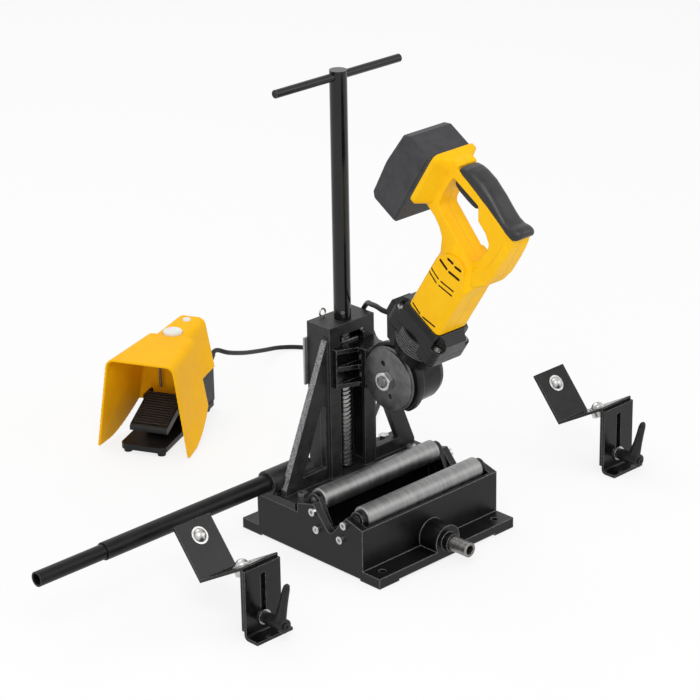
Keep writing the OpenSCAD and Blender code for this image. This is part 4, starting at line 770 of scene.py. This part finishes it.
# cooling slots on each side: both ends of the middle line, across and along the motor, and the width
slots = [((20.9, 214.4), (7.2, 212.4), 3.6), ((12.2, 225.7), (3.8, 226.6), 3.6),
         ((1.5, 212.3), (-15.4, 215.9), 3.6), ((-2.3, 225.8), (-11.1, 228), 3.6),
         ((26.4, 193.2), (10.2, 190.3), 2.2), ((26.4, 186.5), (10.1, 183), 2.2),
         ((4.8, 190.8), (-17, 195.6), 2.2), ((4.7, 183.5), (-18.2, 188.4), 2.2),
         ((24, 128.2), (8.1, 125.1), 2.4), ((1.3, 125.2), (-19.8, 130.1), 2.4)]
slot_floor, slot_out = 24, 33
half_turn = [math.radians(90 + 30 * i) for i in range(7)]
cutters = []
for hand in (-1, 1):
    for start, end, wide in slots:
        turn = math.atan2(end[1] - start[1], end[0] - start[0])
        spokes = [(wide / 2 * math.cos(turn + a), wide / 2 * math.sin(turn + a)) for a in half_turn]
        ends = [(start[0] + y, start[1] + s) for y, s in spokes]
        ends += [(end[0] - y, end[1] - s) for y, s in spokes]
        cutters.append(drawn_out("slot_cutter", ends, *sorted((hand * slot_floor, hand * slot_out))))
cutter = gather(*cutters)
cutter.data.materials.append(slot_painted_shade)
# The pale yellow on the rounded edges is a painted highlight.
shell_yellow = surface("shell_yellow", (249, 188, 4), (253, 196, 10), patch=30, rough=(0.32, 0.44),
                       grain=1800, depth=0.05, edge_wear_and_highlight=(255, 218, 84), edge=2.0, gloss=0.12)
paint(shell, shell_yellow)
cut(shell, cutter)
split = 0.12
for hand, name in ((-1, "drive_half_left"), (1, "drive_half_right")):
    half = shell.copy()
    half.data = shell.data.copy()
    half.name = half.data.name = name
    scene.collection.objects.link(half)
    edit(half)
    bpy.ops.mesh.bisect(plane_co=(hand * split * mm, 0, 0), plane_no=(hand, 0, 0), use_fill=True,
                        clear_inner=True)
    close()
    smooth(half, 45)
    into_drive(half)
    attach(half, "slide")
    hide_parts("housing_left" if hand < 0 else "housing_right")
bpy.data.objects.remove(shell)
dress(turned_steel, "motor_unit")

# Rubber grip
# Soft dark rubber moulded over the outer side of the handle, arched for the palm,
# with a raised stop for the hand at its front end.
grip_half = 18
# sections of the grip: place along the handle, its seat and crown along the motor, and how much narrower
grip_rings = [(69.5, 327, 330.5, 6), (67, 327, 334, 1), (58, 326.75, 338.5, 0), (49, 326.5, 340.5, 0),
              (32, 325, 340.8, 0), (9, 322.3, 336, 0.6), (-11, 319.5, 329.6, 1.2), (-22, 317.93, 326.6, 1),
              (-32, 316.5, 327, 0.4), (-40, 316.79, 331, 0), (-46, 317, 332, 0.6), (-50, 320, 330.5, 3),
              (-51.5, 323, 327, 7)]


def arched(y, seat, crown, less):
    """Section of the grip at one place: a flat seat under a full arch."""
    ring = []
    for k in range(21):
        a = math.pi * k / 20
        x = math.copysign(abs(math.cos(a)) ** 0.6, math.cos(a)) * (grip_half - less)
        ring.append((x, y, seat + (crown - seat) * abs(math.sin(a)) ** 0.75))
    return ring


grip = lofted("hand_grip", [arched(*ring) for ring in grip_rings])
fused(grip, voxel=0.7, rounds=8, keep=0.35)
into_drive(grip)
smooth(grip, 60)
grip_rubber = surface("grip_rubber", (22, 22, 23), (33, 33, 34), patch=80, rough=(0.34, 0.46),
                      grain=2200, depth=0.06, gloss=0.5)
own(grip, grip_rubber, "black_rubber", "slide", "grip_cover")

# Trigger
# A moulded black key in the inner side of the handle. It slides in the pocket between the
# two housing halves, and the fingers pull it towards the palm.
key_half = 12
key_out = [(21, 314), (21, 303.5), (24, 300.9), (31, 299.8), (41, 299.5), (55, 299.9), (63, 301.5),
           (67, 305.5), (67, 314)]
trigger = drawn_out("trigger_key", key_out, -key_half, key_half)
rounded(trigger, width=1.8, segments=3, angle=50)
into_drive(trigger)
smooth(trigger)
key_black = surface("key_black", (26, 26, 28), (38, 38, 40), patch=120, rough=(0.4, 0.52), grain=2000,
                    depth=0.05, gloss=0.3)
own(trigger, key_black, "black_plastic", "trigger_key", "trigger")

# Battery and its latch
# A slide-on pack in dark grey plastic with broad chamfers, a step along each rail and a
# moulded latch key in its lower end.
pack_half, rail_x = 37, 35.2
pack_out = [(98.6, 208), (98.6, 322), (140, 322), (150, 315), (154, 263), (150, 212), (144, 205.4),
            (101, 205.4)]
pack = drawn_out("battery_shell", pack_out, -pack_half, pack_half)
rounded(pack, width=5.0, segments=3, angle=40)
fused(pack, voxel=1.0, rounds=3, keep=0.3)
cut(pack, drawn_out("latch_well", oblong(105.6, 118.4, 200, 214), -10.4, 10.4))
for hand in (-1, 1):
    cut(pack, drawn_out("rail_step", oblong(96, 104, 190, 318), *sorted((hand * rail_x, hand * through))))
into_drive(pack)
smooth(pack, 35)
# The lighter grey on the chamfers and edges is a painted highlight.
pack_grey = surface("pack_grey", (48, 48, 51), (62, 62, 65), patch=60, rough=(0.44, 0.58), grain=1700,
                    depth=0.07, edge=1.4, edge_wear_and_highlight=(118, 118, 121), gloss=0.3)
own(pack, pack_grey, "grey_plastic", "battery", "battery_pack")
dress(key_black, "battery_latch")

# Foot switch hood
# One moulded shell over the pedal, open in front and below: a wide mouth, side walls
# cut away to the rear, and a narrower block behind that carries reset button and plug.
hood_len, hood_top, hood_wall, shoulder_x = 190.0, 141.0, 3.0, 112.0
side_low, side_high, block_low, room_drop = 3, 37, 64, 4
front_bow, block_bow = 14, 12
# half widths below and above: at the mouth, at the shoulder and at both ends of the rear block
mouth, waist, block_start, block_end = (72, 54), (62, 40), (38, 29), (35, 23)


def mirrored(points):
    """The same points on the other side, in the order that leads on round an outline."""
    return [(-y, z) for y, z in reversed(points)]


def hood_ring(x, halves, low_z, radius, less):
    """Outline of the hood across one place: sloping sides under a top with rounded corners.

    less makes it smaller all round, for the room inside."""
    low, top = (half - less for half in halves)
    height = hood_top - less
    bow = radius - less
    side = [(low, low_z)]
    for i in range(9):
        a = math.radians(10 + 10 * i)
        side.append((top - bow + bow * math.cos(a), height - bow + bow * math.sin(a)))
    return [(x, y, z) for y, z in side + mirrored(side)]


def hood_block(name, less, drop):
    """The hood's two blocks as one solid, smaller by a wall and lower by a drop for the room inside."""
    front = lofted(name, [hood_ring(-less, mouth, side_low - drop, front_bow, less),
                          hood_ring(shoulder_x - less, waist, side_low - drop, front_bow, less)])
    low = block_low - drop
    rear = lofted(name + "_rear", [hood_ring(shoulder_x - 20, block_start, low, block_bow, less),
                                   hood_ring(hood_len - less, block_end, low, block_bow, less)])
    cut(front, rear, "UNION")
    return front


hood = hood_block("switch_hood", 0, 0)
cut(hood, hood_block("hood_room", hood_wall, room_drop))
sweep_x, sweep_steps = 30, 12
side_cut = [(24, -20)]
for i in range(sweep_steps + 1):
    rise = (side_high - side_low) * (i / sweep_steps) ** 1.6
    side_cut.append((sweep_x + (shoulder_x - sweep_x) * i / sweep_steps, side_low + rise))
side_cut += [(shoulder_x + 1, side_high), (shoulder_x + 1, block_low), (240, block_low), (240, -20)]
cut(hood, drawn_out("side_sweep", side_cut, -100, 100, "Y"))
cut(hood, drawn_out("hood_middle", oblong(-5, 127, -38, 38), -20, block_low, "Z"))
skirt_foot = [(30.4, 42), (30.4, 54.8), (35.4, 54.8), (35.4, 37), (40, 37)]
skirt_flank = [(40, 66), (36, 66), (29, 121)]
skirt_out = mirrored(skirt_foot) + skirt_foot + skirt_flank + mirrored(skirt_flank)
skirt = drawn_out("hood_skirt", skirt_out, 108.5, 111.6)
gather(hood, skirt)
fused(hood, voxel=1.2, rounds=5, keep=0.35)
# wells in the top: place along the hood and radius
wells = {"button_well": (120, 14.4), "plug_well": (172, 3.3)}
well_low, well_high = 120, 160
for name, (x, radius) in wells.items():
    well = rod(name, radius, well_low, well_high, 48)
    put(well, (x, 0, 0))
    cut(hood, well)
switch_place, switch_turn = (-67.892, 447.794, 0), 26


def into_switch(piece):
    """Moves a piece from the foot switch's own axes to its place on the floor."""
    return put(piece, switch_place, (0, 0, switch_turn))


into_switch(hood)
smooth(hood, 50)
# The pale yellow on the rounded edges is a painted highlight.
hood_yellow = surface("hood_yellow", (252, 184, 5), (255, 192, 12), patch=24, rough=(0.42, 0.54),
                      grain=1500, depth=0.06, edge_wear_and_highlight=(255, 214, 80), edge=1.6, gloss=0.08)
own(hood, hood_yellow, "yellow_hood", "frame_set", "fs_hood")

# Foot switch body, pedal and fittings
# Black moulded base on rubber feet with a ribbed pedal on a steel pin, white reset button and
# plug cap, a lock rod, a gland for the lead, and the lead's clips in the same black.
switch_black = surface("switch_black", (16, 16, 17), (28, 28, 29), patch=90, rough=(0.38, 0.5),
                       grain=1600, depth=0.08, edge_wear_and_highlight=(78, 78, 80), edge=0.8, gloss=0.25)
dress(switch_black, "fs_base", "cord_clips")
# The lighter edge colour is a painted highlight on the pedal's ribs.
pedal_black = surface("pedal_black", (14, 14, 15), (24, 24, 25), patch=80, rough=(0.28, 0.4), grain=1200,
                      depth=0.06, edge_wear_and_highlight=(112, 112, 114), edge=0.9, gloss=0.35)
dress(pedal_black, "fs_pedal")
dress(lead_rubber, "fs_feet", "fs_gland")
cap_white = surface("cap_white", (226, 225, 220), (240, 239, 236), patch=60, rough=(0.4, 0.55),
                    grain=1500, depth=0.03, edge=0.5)
dress(cap_white, "fs_button", "fs_plug")
dress(shaft_grey, "fs_pin", "fs_rod")

# Saddle supports
# Bent steel brackets and V saddles with a thick glossy powder coat. Plated ball units in
# the legs carry the work, and a plated stud clamps each saddle at its height.
sheet_black = surface("sheet_black", (10, 10, 11), (18, 18, 19), patch=70, rough=(0.16, 0.28), grain=500,
                      depth=0.03, edge_wear_and_highlight=(140, 140, 142), edge=1.4, gloss=0.28)
dress(sheet_black, "support_feet", "saddle_left", "saddle_right")
dress(zinc, "ball_units_left", "ball_units_right", "clamp_stud_left", "clamp_stud_right")

# Clamp levers
# Moulded levers with a tapered hub over the stud and a swept arm. A capped black screw in
# the hub's face holds each lever on its toothed insert.
lever_black = surface("lever_black", (20, 20, 21), (33, 33, 34), patch=100, rough=(0.34, 0.46),
                      grain=1500, depth=0.1, edge_wear_and_highlight=(84, 84, 86), edge=0.8, gloss=0.28)
# sections of the arm: height over the stud, place before the hub's inner end, half depth and half width
arm_rings = [(-6, -25, 11, 5.6), (0, -25, 12, 6.4), (6, -25.6, 11, 6.2), (15, -29.5, 8.4, 5.8),
             (27, -33, 6.6, 5.3), (41, -36.6, 5.6, 5), (53, -39.6, 5.2, 4.8), (58.6, -41, 4, 3.8),
             (61, -41.5, 1.8, 1.8)]
support_x = {"left": -307.5, "right": 367.0}
hub_y, stud_z, hub_len, screw_seat = -72.6, 23.0, 37, 36.8
cap_out = [(0, 0), (0, 1.2), (2.0, 1.2), (2.0, 2.6), (4.4, 2.6), (5.0, 1.9), (5.0, 0)]


def arm_ring(height, place, deep, wide):
    """Oval section of the arm at one height."""
    angles = [math.pi * k / 10 for k in range(20)]
    return [(wide * math.cos(a), hub_y + place + deep * math.sin(a), stud_z + height) for a in angles]


for side, middle in support_x.items():
    hub = turned("lever_" + side, [(0, 0), (0, hub_len), (9.5, hub_len), (7.5, 0)], 40)
    put(hub, (0, hub_y, stud_z), (90, 0, 0))
    gather(hub, lofted("lever_arm", [arm_ring(*ring) for ring in arm_rings]))
    fused(hub, voxel=0.7, rounds=5, keep=0.4)
    put(hub, (middle, 0, 0))
    smooth(hub, 60)
    own(hub, lever_black, "black_plastic", "lever_" + side, "clamp_lever_" + side)
    screw = turned("lever_screw_" + side, cap_out, 32)
    put(screw, (middle, hub_y - screw_seat, stud_z), (90, 0, 0))
    smooth(screw)
    own(screw, switch_black, "black_plastic", "lever_" + side)
